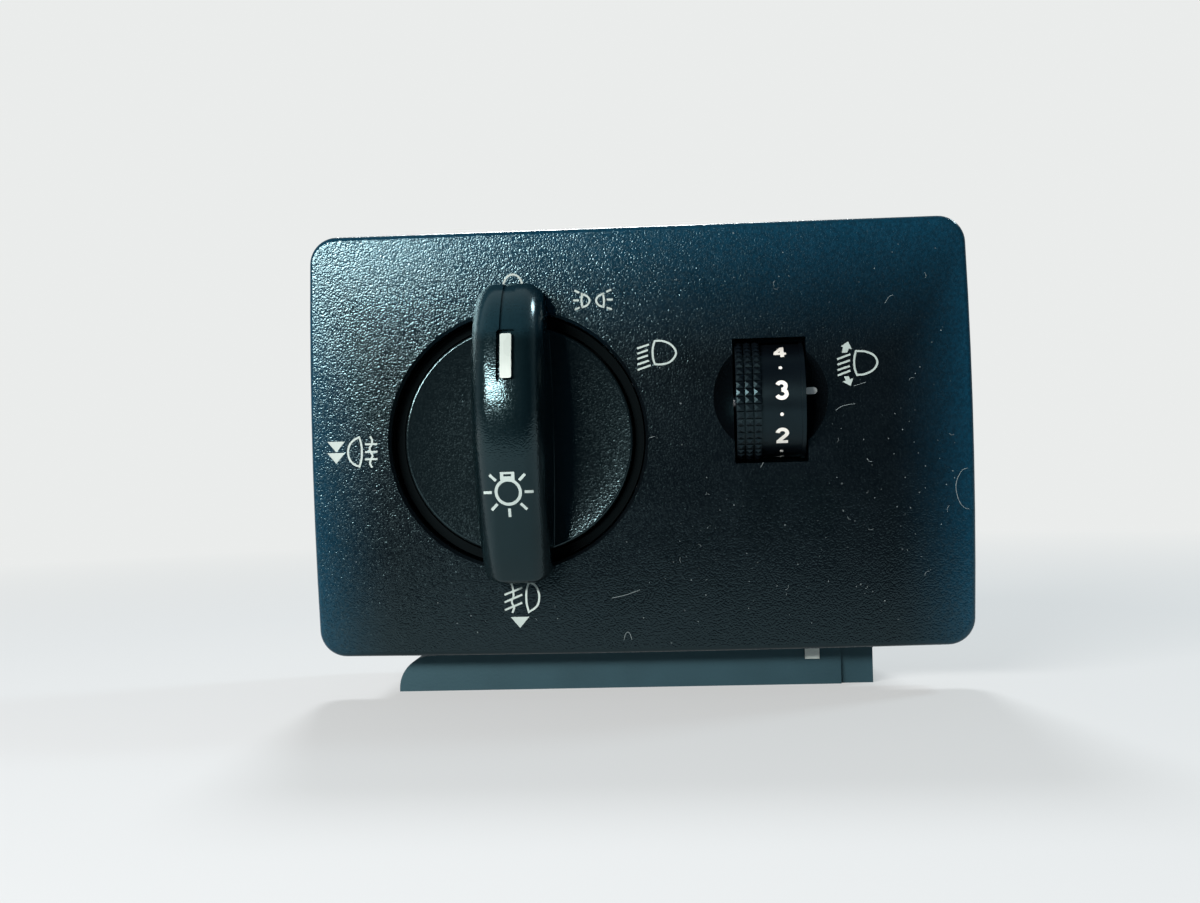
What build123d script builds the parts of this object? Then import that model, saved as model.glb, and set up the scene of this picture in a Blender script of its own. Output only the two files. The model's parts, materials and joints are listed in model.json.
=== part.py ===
from build123d import *
import math
import os

# Rotary headlight switch with a pull-out knob and a headlamp-levelling thumbwheel.
# It is drawn from the middle of the fascia's face, with x to the right, y up and z towards the driver.
# Every piece is then put in the standing frame: X to the right, Y to the rear, Z up from the base.

os.makedirs("parts", exist_ok=True)

# Fascia plate
plate_width = 108.0
plate_height = 70.0
side_bow = 0.7
lower_bow = 0.35
plate_corner = 4.5
plate_wall = 2.4
skirt_wall = 1.8
skirt_depth = 8.0
plate_edge_round = 0.8

# Clearances shared by all fits
turn_gap = 0.35
fit_gap = 0.06
rest_gap = 0.3

# Opening for the knob and the cup that turns in it
knob_x = -20.0
knob_y = 0.4
opening_radius = 21.2
opening_bevel = 0.5
collar_wall = 1.5
cup_rim = 1.4
cup_rim_drop = 3.2
cup_step_depth = 9.0
cup_floor_depth = 12.3
cup_floor = 2.0
cup_step_wall = 1.2
cam_step = 3.35
cam_wall = 1.8
cam_notch_radius = 1.2
turn_step = 30.0
hub_radius = 7.0
hub_overrun = 1.6
wiper_gap = 0.3
ring_rim = 1.8
ring_bite = 1.0
ring_opening = 5.0

# Knob: disc, skirt and arched bar
disc_sink = 1.6
disc_wall = 2.0
disc_round = 0.5
knob_skirt_wall = 1.6
knob_skirt_depth = 8.5
knob_boss_radius = 5.5
knob_rib_wall = 1.2
knob_rib_depth = 2.5
knob_rib_count = 6
bar_length = 48.8
bar_shift = 1.0
bar_width = 11.9
bar_end_width = 10.5
bar_clearance = 1.0
bar_top_corner = 3.0
bar_low_corner = 2.0
bar_crest = 15.0
bar_crest_place = 2.0
bar_shoulder = 12.6
bar_shoulder_place = 16.3
bar_shoulder_round = 5.0
bar_slope = 11.6
bar_low_end = 5.2
bar_high_end = 4.0
bar_low_slant = (1.0, 0.75)
bar_shoulder_slant = (1.0, -0.36)
bar_end_belly = 1.0
bar_end_round = 1.5
bar_inward = (-0.5, -0.87)
bar_edge_round = 3.5
groove_width = 2.1
groove_depth = 0.4
pocket_width = 3.0
pocket_length = 8.4
pocket_place = 12.15
pocket_depth = 1.1
pocket_corner = 0.6
pointer_width = 1.8
pointer_length = 7.1
pointer_corner = 0.3
pointer_sink = 0.15

# Shaft, pull positions and slider
shaft_side = 6.0
shaft_chamfer = 0.6
shaft_in_bar = 7.0
pull_step = 3.0
pull_steps = 2
shaft_notch_radius = 0.6
clip_wire = 0.8
slider_radius = 5.8
slider_thickness = 1.4
slider_ring = 0.5
slider_end_gap = 0.4

# Levelling wheel, its dish and its bearing
wheel_x = 16.2
wheel_y = 5.7
wheel_axis_depth = 5.0
band_radius = 9.4
band_width = 6.6
knurl_radius = 9.9
knurl_width = 4.0
knurl_columns = 3
knurl_teeth = 50
knurl_tooth_depth = 0.5
knurl_groove = 0.25
rim_width = 0.6
rim_stand = 0.25
wheel_side_gap = 0.4
wheel_recess = 1.6
wheel_hub_radius = 3.2
wheel_tyre_wall = 1.8
axle_radius = 1.2
cheek_wall = 2.2
cheek_half_height = 3.6
dish_x = 21.9
dish_y = 6.3
dish_radius = 9.4
dish_depth = 3.2
dish_wall = 2.2
dish_pad_margin = 1.6
mark_x = 28.6
mark_y = 7.1
mark_length = 1.9
mark_height = 1.15
mark_depth = 0.8
mark_stand = 0.1
plate_rib_wall = 1.2
plate_rib_depth = 3.0
plate_rib_rows = (-11.5, -21.0)
plate_rib_left = 12.0
plate_rib_margin = 14.0
detent_strip = 0.4
level_strip_width = 3.2

# Levelling potentiometer
pot_width = 3.4
pot_height = 9.0
pot_cover = 1.05
pot_depth = 9.3
lead_side = 0.6
lead_pitch = 2.5
lead_count = 3

# Case behind the plate
well_side_gap = 2.6
case_right_margin = 15.8
case_top_margin = 4.0
case_low_margin = 4.0
case_corner = 3.0
case_wall = 2.0
neck_left = -36.0
foot_left = -42.4
foot_height = 6.0
foot_round = 5.5
foot_share = 0.95
foot_recess = 0.4
foot_step_width = 5.4
foot_step_depth = 0.8
base_drop = 7.2
housing_depth = 16.0
cover_depth = 12.0
well_wall = 1.8
well_floor = 2.0
bearing_wall = 2.5
bearing_length = 6.4
tab_x = 28.0
tab_width = 2.4
tab_height = 1.9
tab_drop = 0.6
tab_sink = 1.0
tab_stand = 0.6

# Screws through the case into the plate's posts
screw_left_inset = 6.1
screw_right_inset = 4.9
screw_row_inset = 4.0
screw_radius = 1.2
screw_head_radius = 2.4
screw_head_height = 1.8
screw_slot = 0.6
screw_slot_depth = 0.9
screw_clearance = 0.1
post_radius = 2.6
post_cap = 1.2
boss_radius = 3.2

# Snap loops on the cover that catch noses on the case's top
snap_places = (-24.0, 0.0, 24.0)
snap_width = 6.0
snap_thickness = 1.0
snap_reach = 6.5
snap_root = 4.0
snap_window_width = 3.4
snap_window_length = 3.0
snap_lip = 1.4
nose_width = 2.8
nose_length = 2.4
nose_height = 0.9

# Circuit board and what it carries
board_thickness = 1.6
track_thickness = 0.3
track_radii = (8.8, 12.2)
track_width = 1.8
track_arc = 150.0
lamp_side = 3.0
lamp_height = 0.8
resistor_length = 3.2
resistor_width = 1.6
resistor_height = 0.7
resistor_count = 5
resistor_pitch = 4.0
resistor_x = 10.0
resistor_y = -27.0
blade_thickness = 0.4
blade_width = 4.0
blade_gap = 0.5

# Plug socket and its pins
socket_x = 12.0
socket_y = -12.0
socket_width = 25.0
socket_height = 14.0
socket_wall = 1.5
socket_depth = 10.0
socket_key = 1.2
latch_width = 6.0
latch_length = 3.0
latch_lip = 2.0
pin_columns = 5
pin_rows = 2
pin_pitch = 4.2
pin_row_pitch = 5.0
pin_width = 1.5
pin_thickness = 0.8
pin_reach = 5.0

# Light guide behind the symbols
guide_thickness = 1.5
guide_gap = 0.4
guide_width = 6.6
guide_arm_low = 18.0
guide_arm_high = 22.0
guide_end_margin = 13.5
guide_lobe_width = 6.5
guide_lobe_low = 7.0
stem_width = 4.0
stem_height = 3.0
stem_arm_x = 8.0
stem_ring_drop = 26.4

# Spring clips at the sides
clip_width = 10.0
clip_thickness = 0.6
clip_length = 20.0
clip_bend = 3.4
clip_turn = 1.2
clip_tail = 1.5
clip_barb = 5.0
clip_tip = 1.6
clip_lead = 1.0
clip_y = 0.0
rail_width = 1.0
rail_stand = 1.2

# Places worked out from the sizes above
case_left = knob_x - opening_radius - well_wall - well_side_gap
case_right = plate_width / 2 - case_right_margin
case_top = plate_height / 2 - case_top_margin
case_low = case_low_margin - plate_height / 2
screw_columns = (case_left + screw_left_inset, case_right - screw_right_inset)
screw_rows = (case_top - screw_row_inset, case_low + screw_row_inset)
seat = -skirt_depth
housing_back = seat - housing_depth
board_back = housing_back - board_thickness
cover_back = housing_back - cover_depth
cover_inner = cover_back + case_wall
mouth = cover_back - socket_depth
base_y = -plate_height / 2 - base_drop
cup_radius = opening_radius - turn_gap
cup_bore = cup_radius - cup_rim
cam_radius = cup_radius - cam_step
disc_radius = cup_bore - turn_gap
cup_back = -cup_floor_depth - cup_floor
well_bottom = cup_back - rest_gap
bearing_end = well_bottom - bearing_length
ring_front = bearing_end - turn_gap
ring_thickness = 0.8
hub_end = bearing_end - hub_overrun
pull_travel = pull_step * pull_steps
shaft_end = cover_inner + slider_end_gap
wheel_width = knurl_width + band_width + rim_width
wheel_right = wheel_x + wheel_width
wheel_z = -wheel_axis_depth
slot_left = wheel_x - wheel_side_gap
slot_right = wheel_right + wheel_side_gap
cheek_left = slot_left - cheek_wall
cheek_right = slot_right + cheek_wall
axle_end = cheek_right + pot_width
dish_ball = (dish_radius ** 2 + dish_depth ** 2) / (2 * dish_depth)
dish_ball_z = dish_ball - dish_depth
guide_inner = opening_radius + collar_wall + guide_gap
guide_outer = guide_inner + guide_width
guide_back = -plate_wall - guide_thickness
guide_end = plate_width / 2 - guide_end_margin
guide_lobe_left = guide_end - guide_lobe_width
stem_end = housing_back + lamp_height + rest_gap
disc_front = -disc_sink
bar_y = knob_y + bar_shift
front_reach = bar_crest
rear_reach = -mouth


def block(x0, x1, y0, y1, z0, z1):
    """A box between two corners."""
    middle = Pos((x0 + x1) / 2, (y0 + y1) / 2, (z0 + z1) / 2)
    return middle * Box(abs(x1 - x0), abs(y1 - y0), abs(z1 - z0))


def rod(x, y, radius, z0, z1):
    """A round bar along z."""
    return Pos(x, y, (z0 + z1) / 2) * Cylinder(radius, abs(z1 - z0))


def cross_rod(y, z, radius, x0, x1):
    """A round bar along x."""
    return Pos((x0 + x1) / 2, y, z) * Rot(0, 90, 0) * Cylinder(radius, abs(x1 - x0))


def tube(x, y, outer, inner, z0, z1):
    """A round sleeve along z."""
    return rod(x, y, outer, z0, z1) - rod(x, y, inner, z0, z1)


def square_bar(x, y, side, chamfer, z0, z1):
    """A square bar along z with its long edges broken."""
    bar = block(x - side / 2, x + side / 2, y - side / 2, y + side / 2, z0, z1)
    return bar if chamfer == 0 else chamfered_along_z(bar, chamfer)


def chamfered_along_z(shape, size):
    return chamfer(shape.edges().filter_by(Axis.Z), size)


def rectangle(x0, x1, y0, y1):
    return Pos((x0 + x1) / 2, (y0 + y1) / 2) * Rectangle(x1 - x0, y1 - y0)


def screw_places():
    return [(x, y) for x in screw_columns for y in screw_rows]


def plate_outline(inset):
    """The plate's edge, or a line inside it: a straight top, and three sides that bow gently outwards."""
    half_width = plate_width / 2 - inset
    half_height = plate_height / 2 - inset
    top = Line((-half_width, half_height), (half_width, half_height))
    right = ThreePointArc((half_width, half_height), (half_width + side_bow, 0), (half_width, -half_height))
    low = ThreePointArc((half_width, -half_height), (0, -half_height - lower_bow), (-half_width, -half_height))
    left = ThreePointArc((-half_width, -half_height), (-half_width - side_bow, 0), (-half_width, half_height))
    face = make_face([top, right, low, left])
    return fillet(face.vertices(), plate_corner - inset)


def dish_sphere(radius):
    return Pos(dish_x, dish_y, dish_ball_z) * Sphere(radius)


def mark_prism(margin, z0, z1):
    oval = Pos(mark_x, mark_y, z0) * SlotOverall(mark_length + 2 * margin, mark_height + 2 * margin)
    return extrude(oval, z1 - z0)


def fascia_plate():
    """Moulded plate with its skirt, knob collar, dish, wheel bearing cheeks and screw posts."""
    body = extrude(plate_outline(0), -skirt_depth)
    body = fillet(body.edges().filter_by_position(Axis.Z, -0.01, 0.01), plate_edge_round)
    body -= Pos(0, 0, -plate_wall) * extrude(plate_outline(skirt_wall), -skirt_depth)
    body += rod(knob_x, knob_y, opening_radius + collar_wall, seat, -plate_wall / 2)
    body += rod(dish_x, dish_y, dish_radius + dish_pad_margin, -dish_depth - dish_wall, -plate_wall / 2)
    cheek_low = wheel_y - cheek_half_height
    cheek_high = wheel_y + cheek_half_height
    body += block(cheek_left, slot_left, cheek_low, cheek_high, seat, -plate_wall)
    body += block(slot_right, cheek_right, cheek_low, cheek_high, seat, -plate_wall)
    pot_half = pot_height / 2 + rest_gap
    body -= block(cheek_right, axle_end + rest_gap, wheel_y - pot_half, wheel_y + pot_half, seat, -plate_wall)
    for x, y in screw_places():
        body += rod(x, y, post_radius, seat, -plate_wall)
        body -= rod(x, y, screw_radius, seat, -plate_wall - post_cap)
    for rib in plate_ribs():
        body += rib
    body -= block(neck_left - rest_gap, case_right + rest_gap, base_y, skirt_wall - plate_height / 2, seat,
                  seat + foot_recess)
    body -= rod(knob_x, knob_y, opening_radius, seat, 1)
    lip = Pos(knob_x, knob_y, -opening_bevel / 2)
    body -= lip * Cone(opening_radius, opening_radius + opening_bevel, opening_bevel)
    body -= dish_sphere(dish_ball)
    slot_half = knurl_radius + turn_gap
    body -= block(slot_left, slot_right, wheel_y - slot_half, wheel_y + slot_half, seat, 1)
    body -= cross_rod(wheel_y, wheel_z, axle_radius + fit_gap, cheek_left, cheek_right)
    mark_floor = -mark_depth - dish_depth / 2
    body -= mark_prism(0, mark_floor, 1)
    return body


def plate_ribs():
    """Stiffening ribs behind the plain field below the wheel."""
    half = plate_rib_wall / 2
    right = plate_width / 2 - plate_rib_margin
    low = skirt_wall / 2 - plate_height / 2
    rib_back = -plate_wall - plate_rib_depth
    ribs = [block(plate_rib_left, right, y - half, y + half, rib_back, -plate_wall) for y in plate_rib_rows]
    pad_edge = dish_y - dish_radius
    ribs.append(block(dish_x - half, dish_x + half, low, pad_edge, rib_back, -plate_wall))
    return ribs


def index_mark():
    """Small white oval set into the dish beside the wheel."""
    mark_floor = -mark_depth - dish_depth / 2
    return mark_prism(0, mark_floor, 0) - dish_sphere(dish_ball - mark_stand)


def bar_profile():
    """Side view of the bar in the y-z plane, seen from the right: a long arched slope and a steep end."""
    half = bar_length / 2
    low = (-half, disc_front)
    low_top = (-half, bar_low_end)
    slope = (-half / 2, bar_slope)
    crest = (bar_crest_place, bar_crest)
    shoulder = (bar_shoulder_place, bar_shoulder)
    end_top = (half, bar_high_end)
    end = (half, disc_front)
    end_middle = ((shoulder[0] + half) / 2 + bar_end_belly, (shoulder[1] + bar_high_end) / 2 + bar_end_belly / 2)
    outline = [
        Line(low, low_top),
        Spline(low_top, slope, crest, shoulder, tangents=[bar_low_slant, bar_shoulder_slant]),
        ThreePointArc(shoulder, end_middle, end_top),
        Line(end_top, end),
        Line(end, low),
    ]
    face = make_face(outline)
    rounds = ((shoulder, bar_shoulder_round), (low_top, bar_end_round), (end_top, bar_end_round))
    for place, radius in rounds:
        corner = face.vertices().sort_by_distance(Vector(*place, 0))[0]
        face = fillet([corner], radius)
    return face


def across(face, x0, x1):
    """Extrude the bar's y-z profile along x, about the knob's axis."""
    plane = Plane(origin=(knob_x + x0, bar_y, 0), x_dir=(0, 1, 0), z_dir=(1, 0, 0))
    return extrude(plane * face, x1 - x0)


def bar_plan():
    """Front view of the bar: slightly bellied sides, large corners above and small ones below."""
    half = bar_length / 2
    end = bar_end_width / 2
    middle = bar_width / 2
    outline = [
        Line((-end, half), (end, half)),
        ThreePointArc((end, half), (middle, 0), (end, -half)),
        Line((end, -half), (-end, -half)),
        ThreePointArc((-end, -half), (-middle, 0), (-end, half)),
    ]
    face = make_face(outline)
    upper = face.vertices().group_by(Axis.Y)[-1]
    face = fillet(upper, bar_top_corner)
    lower = face.vertices().group_by(Axis.Y)[0]
    return fillet(lower, bar_low_corner)


def bar_skin(top, bottom, half_width, low, high, corner=0.0):
    """The layer of the bar between two depths under its surface, cut to a width and a length."""
    profile = bar_profile()
    outer = across(sunk(profile, top), -half_width, half_width)
    inner = across(sunk(profile, bottom), -half_width, half_width)
    floor = bar_crest / 4
    window = block(knob_x - half_width, knob_x + half_width, bar_y + low, bar_y + high, floor, bar_crest + 1)
    if corner:
        window = fillet(window.edges().filter_by(Axis.Z), corner)
    return (outer - inner) & window


def sunk(profile, depth):
    """The bar's profile moved inwards, square to the pointer's place and the steep end alike."""
    return Pos(depth * bar_inward[0], depth * bar_inward[1]) * profile


def knob_bar():
    """The bar: its side profile with both long edges rounded, trimmed to the plan."""
    half_width = bar_width / 2
    bar = across(bar_profile(), -half_width, half_width)
    side_edges = [edge for edge in bar.edges() if abs(abs(edge.center().X - knob_x) - half_width) < 0.01]
    curved = [edge for edge in side_edges if edge.geom_type != GeomType.LINE]
    bar = fillet(curved, bar_edge_round)
    bar = bar & extrude(Pos(knob_x, bar_y, disc_front) * bar_plan(), disc_sink + bar_crest + 1)
    under = rod(knob_x, knob_y, bar_length, disc_front, bar_clearance)
    return bar - (under - rod(knob_x, knob_y, disc_radius - disc_round, disc_front, bar_clearance))


def knob():
    """Disc, skirt and arched bar in one moulding, with its groove, pointer pocket and shaft socket."""
    body = rod(knob_x, knob_y, disc_radius, -knob_skirt_depth, disc_front)
    rim = body.edges().filter_by_position(Axis.Z, disc_front - 0.01, disc_front + 0.01)
    body = fillet(rim, disc_round)
    body -= rod(knob_x, knob_y, disc_radius - knob_skirt_wall, -knob_skirt_depth, disc_front - disc_wall)
    body += rod(knob_x, knob_y, knob_boss_radius, -knob_skirt_depth, disc_front - disc_wall)
    rib = block(knob_boss_radius - 1, disc_radius - knob_skirt_wall / 2, -knob_rib_wall / 2, knob_rib_wall / 2,
                disc_front - disc_wall - knob_rib_depth, disc_front - disc_wall)
    for index in range(knob_rib_count):
        body += Pos(knob_x, knob_y, 0) * Rot(0, 0, (index + 0.5) * 360 / knob_rib_count) * rib
    body += knob_bar()
    pocket_low = pocket_place - pocket_length / 2
    pocket_high = pocket_place + pocket_length / 2
    body -= bar_skin(-groove_depth, groove_depth, groove_width / 2, pocket_high - 0.5, bar_length)
    body -= bar_skin(-pocket_depth, pocket_depth, pocket_width / 2, pocket_low, pocket_high, pocket_corner)
    body -= square_bar(knob_x, knob_y, shaft_side, shaft_chamfer, -knob_skirt_depth, shaft_in_bar)
    return body


def pointer_lens():
    """White pointer, a little below the bar's surface, on the floor of its pocket."""
    low = pocket_place - pointer_length / 2
    high = pocket_place + pointer_length / 2
    return bar_skin(pointer_sink, pocket_depth, pointer_width / 2, low, high, pointer_corner)


def knob_shaft():
    """Square shaft with a row of notches that the pull clip drops into."""
    body = square_bar(knob_x, knob_y, shaft_side, shaft_chamfer, shaft_end, shaft_in_bar)
    notch_z = -cup_floor_depth + clip_wire / 2
    for step in range(pull_steps + 1):
        for side in (-1, 1):
            notch_x = knob_x + side * (shaft_side / 2 + shaft_notch_radius / 3)
            notch = Pos(notch_x, knob_y, notch_z - step * pull_step) * Rot(90, 0, 0)
            body -= notch * Cylinder(shaft_notch_radius, shaft_side)
    slider_front = shaft_end + slider_thickness
    groove = block(knob_x - shaft_side, knob_x + shaft_side, knob_y - shaft_side, knob_y + shaft_side,
                   slider_front, slider_front + slider_ring)
    return body - (groove - rod(knob_x, knob_y, shaft_side / 2 - slider_ring, slider_front,
                                slider_front + slider_ring))


def pull_slider():
    """Contact disc at the shaft's rear end."""
    disc = rod(knob_x, knob_y, slider_radius, shaft_end, shaft_end + slider_thickness)
    return disc - square_bar(knob_x, knob_y, shaft_side, shaft_chamfer, shaft_end, shaft_end + slider_thickness)


def slider_retainer():
    """Open ring in the shaft's groove, which holds the slider on."""
    front = shaft_end + slider_thickness
    ring = tube(knob_x, knob_y, slider_radius - 1, shaft_side / 2 - slider_ring, front, front + slider_ring)
    gap = block(knob_x - shaft_side / 4, knob_x + shaft_side / 4, knob_y, knob_y + slider_radius,
                front, front + slider_ring)
    return ring - gap


def rotor_cup():
    """Cup that turns in the opening, with a notched rim at its back and a hub in the housing's bearing."""
    step_back = -cup_step_depth - cup_step_wall
    body = rod(knob_x, knob_y, cup_radius, step_back, -cup_rim_drop)
    body += rod(knob_x, knob_y, cam_radius, cup_back, step_back)
    body -= rod(knob_x, knob_y, cup_bore, -cup_step_depth, 0)
    body -= rod(knob_x, knob_y, cam_radius - cam_wall, -cup_floor_depth, 0)
    body += rod(knob_x, knob_y, hub_radius, hub_end, cup_back)
    notches = round(360 / turn_step)
    for index in range(notches):
        angle = math.radians(index * turn_step)
        x = knob_x + (cam_radius + cam_notch_radius / 2) * math.cos(angle)
        y = knob_y + (cam_radius + cam_notch_radius / 2) * math.sin(angle)
        body -= rod(x, y, cam_notch_radius, cup_back, step_back)
    body -= square_bar(knob_x, knob_y, shaft_side + 2 * fit_gap, 0, hub_end, 0)
    body -= tube(knob_x, knob_y, 2 * hub_radius, hub_radius - ring_bite, ring_front - ring_thickness, ring_front)
    return body


def rotor_retaining_ring():
    """Open ring that keeps the cup's hub in its bearing."""
    ring_back = ring_front - ring_thickness
    ring = tube(knob_x, knob_y, hub_radius + ring_rim, hub_radius - ring_bite, ring_back, ring_front)
    gap = block(knob_x - ring_opening / 2, knob_x + ring_opening / 2, knob_y - 2 * hub_radius, knob_y, ring_back,
                ring_front)
    return ring - gap


def rotor_wiper():
    """Sprung contact bridge on the hub's end, with three fingers over the tracks."""
    back = hub_end - blade_thickness
    body = rod(knob_x, knob_y, hub_radius, back, hub_end)
    reach = track_radii[-1] + track_width / 2
    tip_back = housing_back + track_thickness + wiper_gap
    for index in range(3):
        turned = Pos(knob_x, knob_y, 0) * Rot(0, 0, index * 120)
        body += turned * block(0, reach, -1, 1, back, hub_end)
        for radius in track_radii:
            body += turned * block(radius - 0.5, radius + 0.5, -1, 1, tip_back, hub_end)
    return body - square_bar(knob_x, knob_y, shaft_side + 2 * fit_gap, 0, back, hub_end)


def pull_detent_clip():
    """U-shaped spring on the cup's floor, with a leg along each side of the shaft."""
    leg = shaft_side / 2 + rest_gap + clip_wire / 2
    path = Polyline((-leg, shaft_side), (-leg, -shaft_side), (leg, -shaft_side), (leg, shaft_side))
    wire = trace(path, clip_wire)
    return Pos(knob_x, knob_y, -cup_floor_depth) * extrude(wire, clip_wire)


def detent_springs():
    """Two leaf springs in the housing's well, each with a nose over the cup's notched rim."""
    step_back = -cup_step_depth - cup_step_wall
    wall = opening_radius - detent_strip / 2 - 0.05
    nose = cam_radius + rest_gap + detent_strip
    path = []
    for degrees, radius in ((-26, wall), (-6, nose + 1), (0, nose), (6, nose + 1), (26, wall)):
        angle = math.radians(degrees)
        path.append((radius * math.cos(angle), radius * math.sin(angle)))
    leaf = extrude(trace(Polyline(*path), detent_strip), cup_back - step_back + 2 * turn_gap)
    place = Pos(knob_x, knob_y, step_back - turn_gap)
    return Compound([place * leaf, place * Rot(0, 0, 180) * leaf])


def level_wheel():
    """Thumbwheel: a knurled part in columns of small teeth, a smooth part for the numbers and a thin rim."""
    at_axis = Pos(0, wheel_y, wheel_z)
    band_left = wheel_x + knurl_width
    rim_left = band_left + band_width
    root = knurl_radius - knurl_tooth_depth
    body = cross_rod(wheel_y, wheel_z, root - 0.1, wheel_x, band_left)
    body += cross_rod(wheel_y, wheel_z, band_radius, band_left, rim_left)
    body += cross_rod(wheel_y, wheel_z, band_radius + rim_stand, rim_left, wheel_right)
    column = (knurl_width - (knurl_columns - 1) * knurl_groove) / knurl_columns
    teeth = tooth_ring(root)
    for index in range(knurl_columns):
        left = wheel_x + index * (column + knurl_groove)
        plane = Plane(origin=(left, wheel_y, wheel_z), x_dir=(0, 1, 0), z_dir=(1, 0, 0))
        body += extrude(plane * teeth, column)
    for left in (wheel_x, wheel_right - wheel_recess):
        recess = cross_rod(0, 0, band_radius - wheel_tyre_wall, left, left + wheel_recess)
        body -= at_axis * (recess - cross_rod(0, 0, wheel_hub_radius, left, left + wheel_recess))
    return body - cross_rod(wheel_y, wheel_z, axle_radius, wheel_x, wheel_right)


def tooth_ring(root):
    """Outline of one knurled column: a sharp ridge for each step round the circle."""
    points = []
    step = 2 * math.pi / knurl_teeth
    for index in range(knurl_teeth):
        for share, radius in ((0.0, root), (0.5, knurl_radius)):
            angle = (index + share) * step
            points.append((radius * math.cos(angle), radius * math.sin(angle)))
    return make_face(Polyline(*points, close=True))


def level_axle():
    return cross_rod(wheel_y, wheel_z, axle_radius, cheek_left, axle_end)


def level_potentiometer():
    """Small potentiometer on the wheel's axle, against the right-hand cheek."""
    front = wheel_z + axle_radius + fit_gap + pot_cover
    half = pot_height / 2
    body = block(cheek_right, axle_end, wheel_y - half, wheel_y + half, front - pot_depth, front)
    body = chamfer(body.edges().filter_by(Axis.X), 0.8)
    return body - cross_rod(wheel_y, wheel_z, axle_radius + fit_gap, cheek_right, axle_end)


def level_leads():
    """Three leads from the potentiometer to the circuit board."""
    front = wheel_z + axle_radius + fit_gap + pot_cover - pot_depth
    x = (cheek_right + axle_end) / 2
    half = lead_side / 2
    leads = []
    for index in range(lead_count):
        y = wheel_y + (index - (lead_count - 1) / 2) * lead_pitch
        leads.append(block(x - half, x + half, y - half, y + half, housing_back, front))
    return Compound(leads)


def level_detent_spring():
    """Leaf spring behind the wheel, seated on the housing's front wall, with its nose over the knurl."""
    wall_back = seat - case_wall - detent_strip / 2
    clear = knurl_radius + turn_gap + detent_strip
    foot = knurl_radius + rest_gap + 0.6
    nose_z = wheel_z - clear
    side = clear * math.sin(math.radians(42))
    side_z = wheel_z - (clear + 1.6) * math.cos(math.radians(38))
    points = [(foot + 1.6, wall_back), (foot, wall_back), (side, side_z), (1.4, nose_z - 0.6), (0, nose_z)]
    path = points + [(-y, z) for y, z in reversed(points[:-1])]
    strip = trace(Polyline(*path), detent_strip)
    left = wheel_x + (knurl_width - level_strip_width) / 2
    plane = Plane(origin=(left, wheel_y, 0), x_dir=(0, 1, 0), z_dir=(1, 0, 0))
    return extrude(plane * strip, level_strip_width)


def case_outline(inset):
    """Back view of the case, or a line inside it: a wide upper block, a neck and a foot with one round shoulder."""
    right = case_right - inset
    floor = base_y + inset
    shelf = base_y + foot_height - inset
    upper = rectangle(case_left + inset, right, case_low + inset, case_top - inset)
    upper = fillet(upper.vertices(), case_corner)
    foot = rectangle(foot_left + inset, right, floor, shelf)
    shoulder = foot.vertices().sort_by_distance(Vector(foot_left, base_y + foot_height, 0))[0]
    foot = fillet([shoulder], min(foot_round - inset, foot_share * (shelf - floor)))
    neck = rectangle(neck_left + inset, right - case_corner, floor, case_low + inset + case_corner)
    right_side = rectangle(right - 2 * case_corner, right, floor, case_low + inset + case_corner)
    return upper + foot + neck + right_side


def clip_rails(side, wall_x):
    """Pair of rails that guide a spring clip on one side of the case."""
    rails = []
    for y in (clip_y + clip_width / 2 + fit_gap, clip_y - clip_width / 2 - fit_gap - rail_width):
        rails.append(block(wall_x, wall_x + side * rail_stand, y, y + rail_width, housing_back, seat - case_wall))
    return rails


def front_housing():
    """Moulded case: a front wall that the plate seats on, a well for the cup and the hub's bearing."""
    body = Pos(0, 0, seat) * extrude(case_outline(0), -housing_depth)
    body -= Pos(0, 0, seat - case_wall) * extrude(case_outline(case_wall), -housing_depth)
    body += rod(knob_x, knob_y, opening_radius + well_wall, well_bottom - well_floor, seat - case_wall / 2)
    body += rod(knob_x, knob_y, hub_radius + fit_gap + bearing_wall, bearing_end, well_bottom)
    body -= rod(knob_x, knob_y, opening_radius, well_bottom, seat)
    body -= rod(knob_x, knob_y, hub_radius + fit_gap, bearing_end, well_bottom)
    for x, y in screw_places():
        body += rod(x, y, boss_radius, housing_back, seat - case_wall)
        body -= rod(x, y, screw_radius + screw_clearance, housing_back, seat)
    for rail in clip_rails(-1, case_left) + clip_rails(1, case_right):
        body += rail
    wall_back = seat - case_wall
    wheel_half = knurl_radius - 0.05
    body -= block(slot_left, slot_right, wheel_y - wheel_half, wheel_y + wheel_half, wall_back, seat)
    pot_half = pot_height / 2 + rest_gap
    pot_right = axle_end + rest_gap
    body -= block(cheek_right - 0.1, pot_right, wheel_y - pot_half, wheel_y + pot_half, wall_back, seat)
    for x, y in stem_places():
        body -= stem(x, y, guide_gap, wall_back, seat)
    tab_top = -plate_height / 2 - lower_bow - tab_drop
    body -= block(tab_x - tab_width / 2, tab_x + tab_width / 2, tab_top - tab_height, tab_top,
                  seat - tab_sink, seat)
    step_left = case_right - foot_step_width
    body -= block(step_left, case_right, base_y, base_y + foot_height, seat - foot_step_depth, seat)
    for x in snap_places:
        body += snap_nose(x)
    return body


def snap_nose(x):
    """Wedge on the case's top that a loop of the cover clicks over: it rises towards the driver."""
    rear = housing_back + snap_reach - snap_lip - nose_length - rest_gap
    plane = Plane(origin=(x - nose_width / 2, 0, 0), x_dir=(0, 1, 0), z_dir=(1, 0, 0))
    root = case_top - case_wall / 2
    front = rear + nose_length
    wedge = Polyline((root, rear), (case_top, rear), (case_top + nose_height, front), (root, front), close=True)
    return extrude(plane * make_face(wedge), nose_width)


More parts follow.
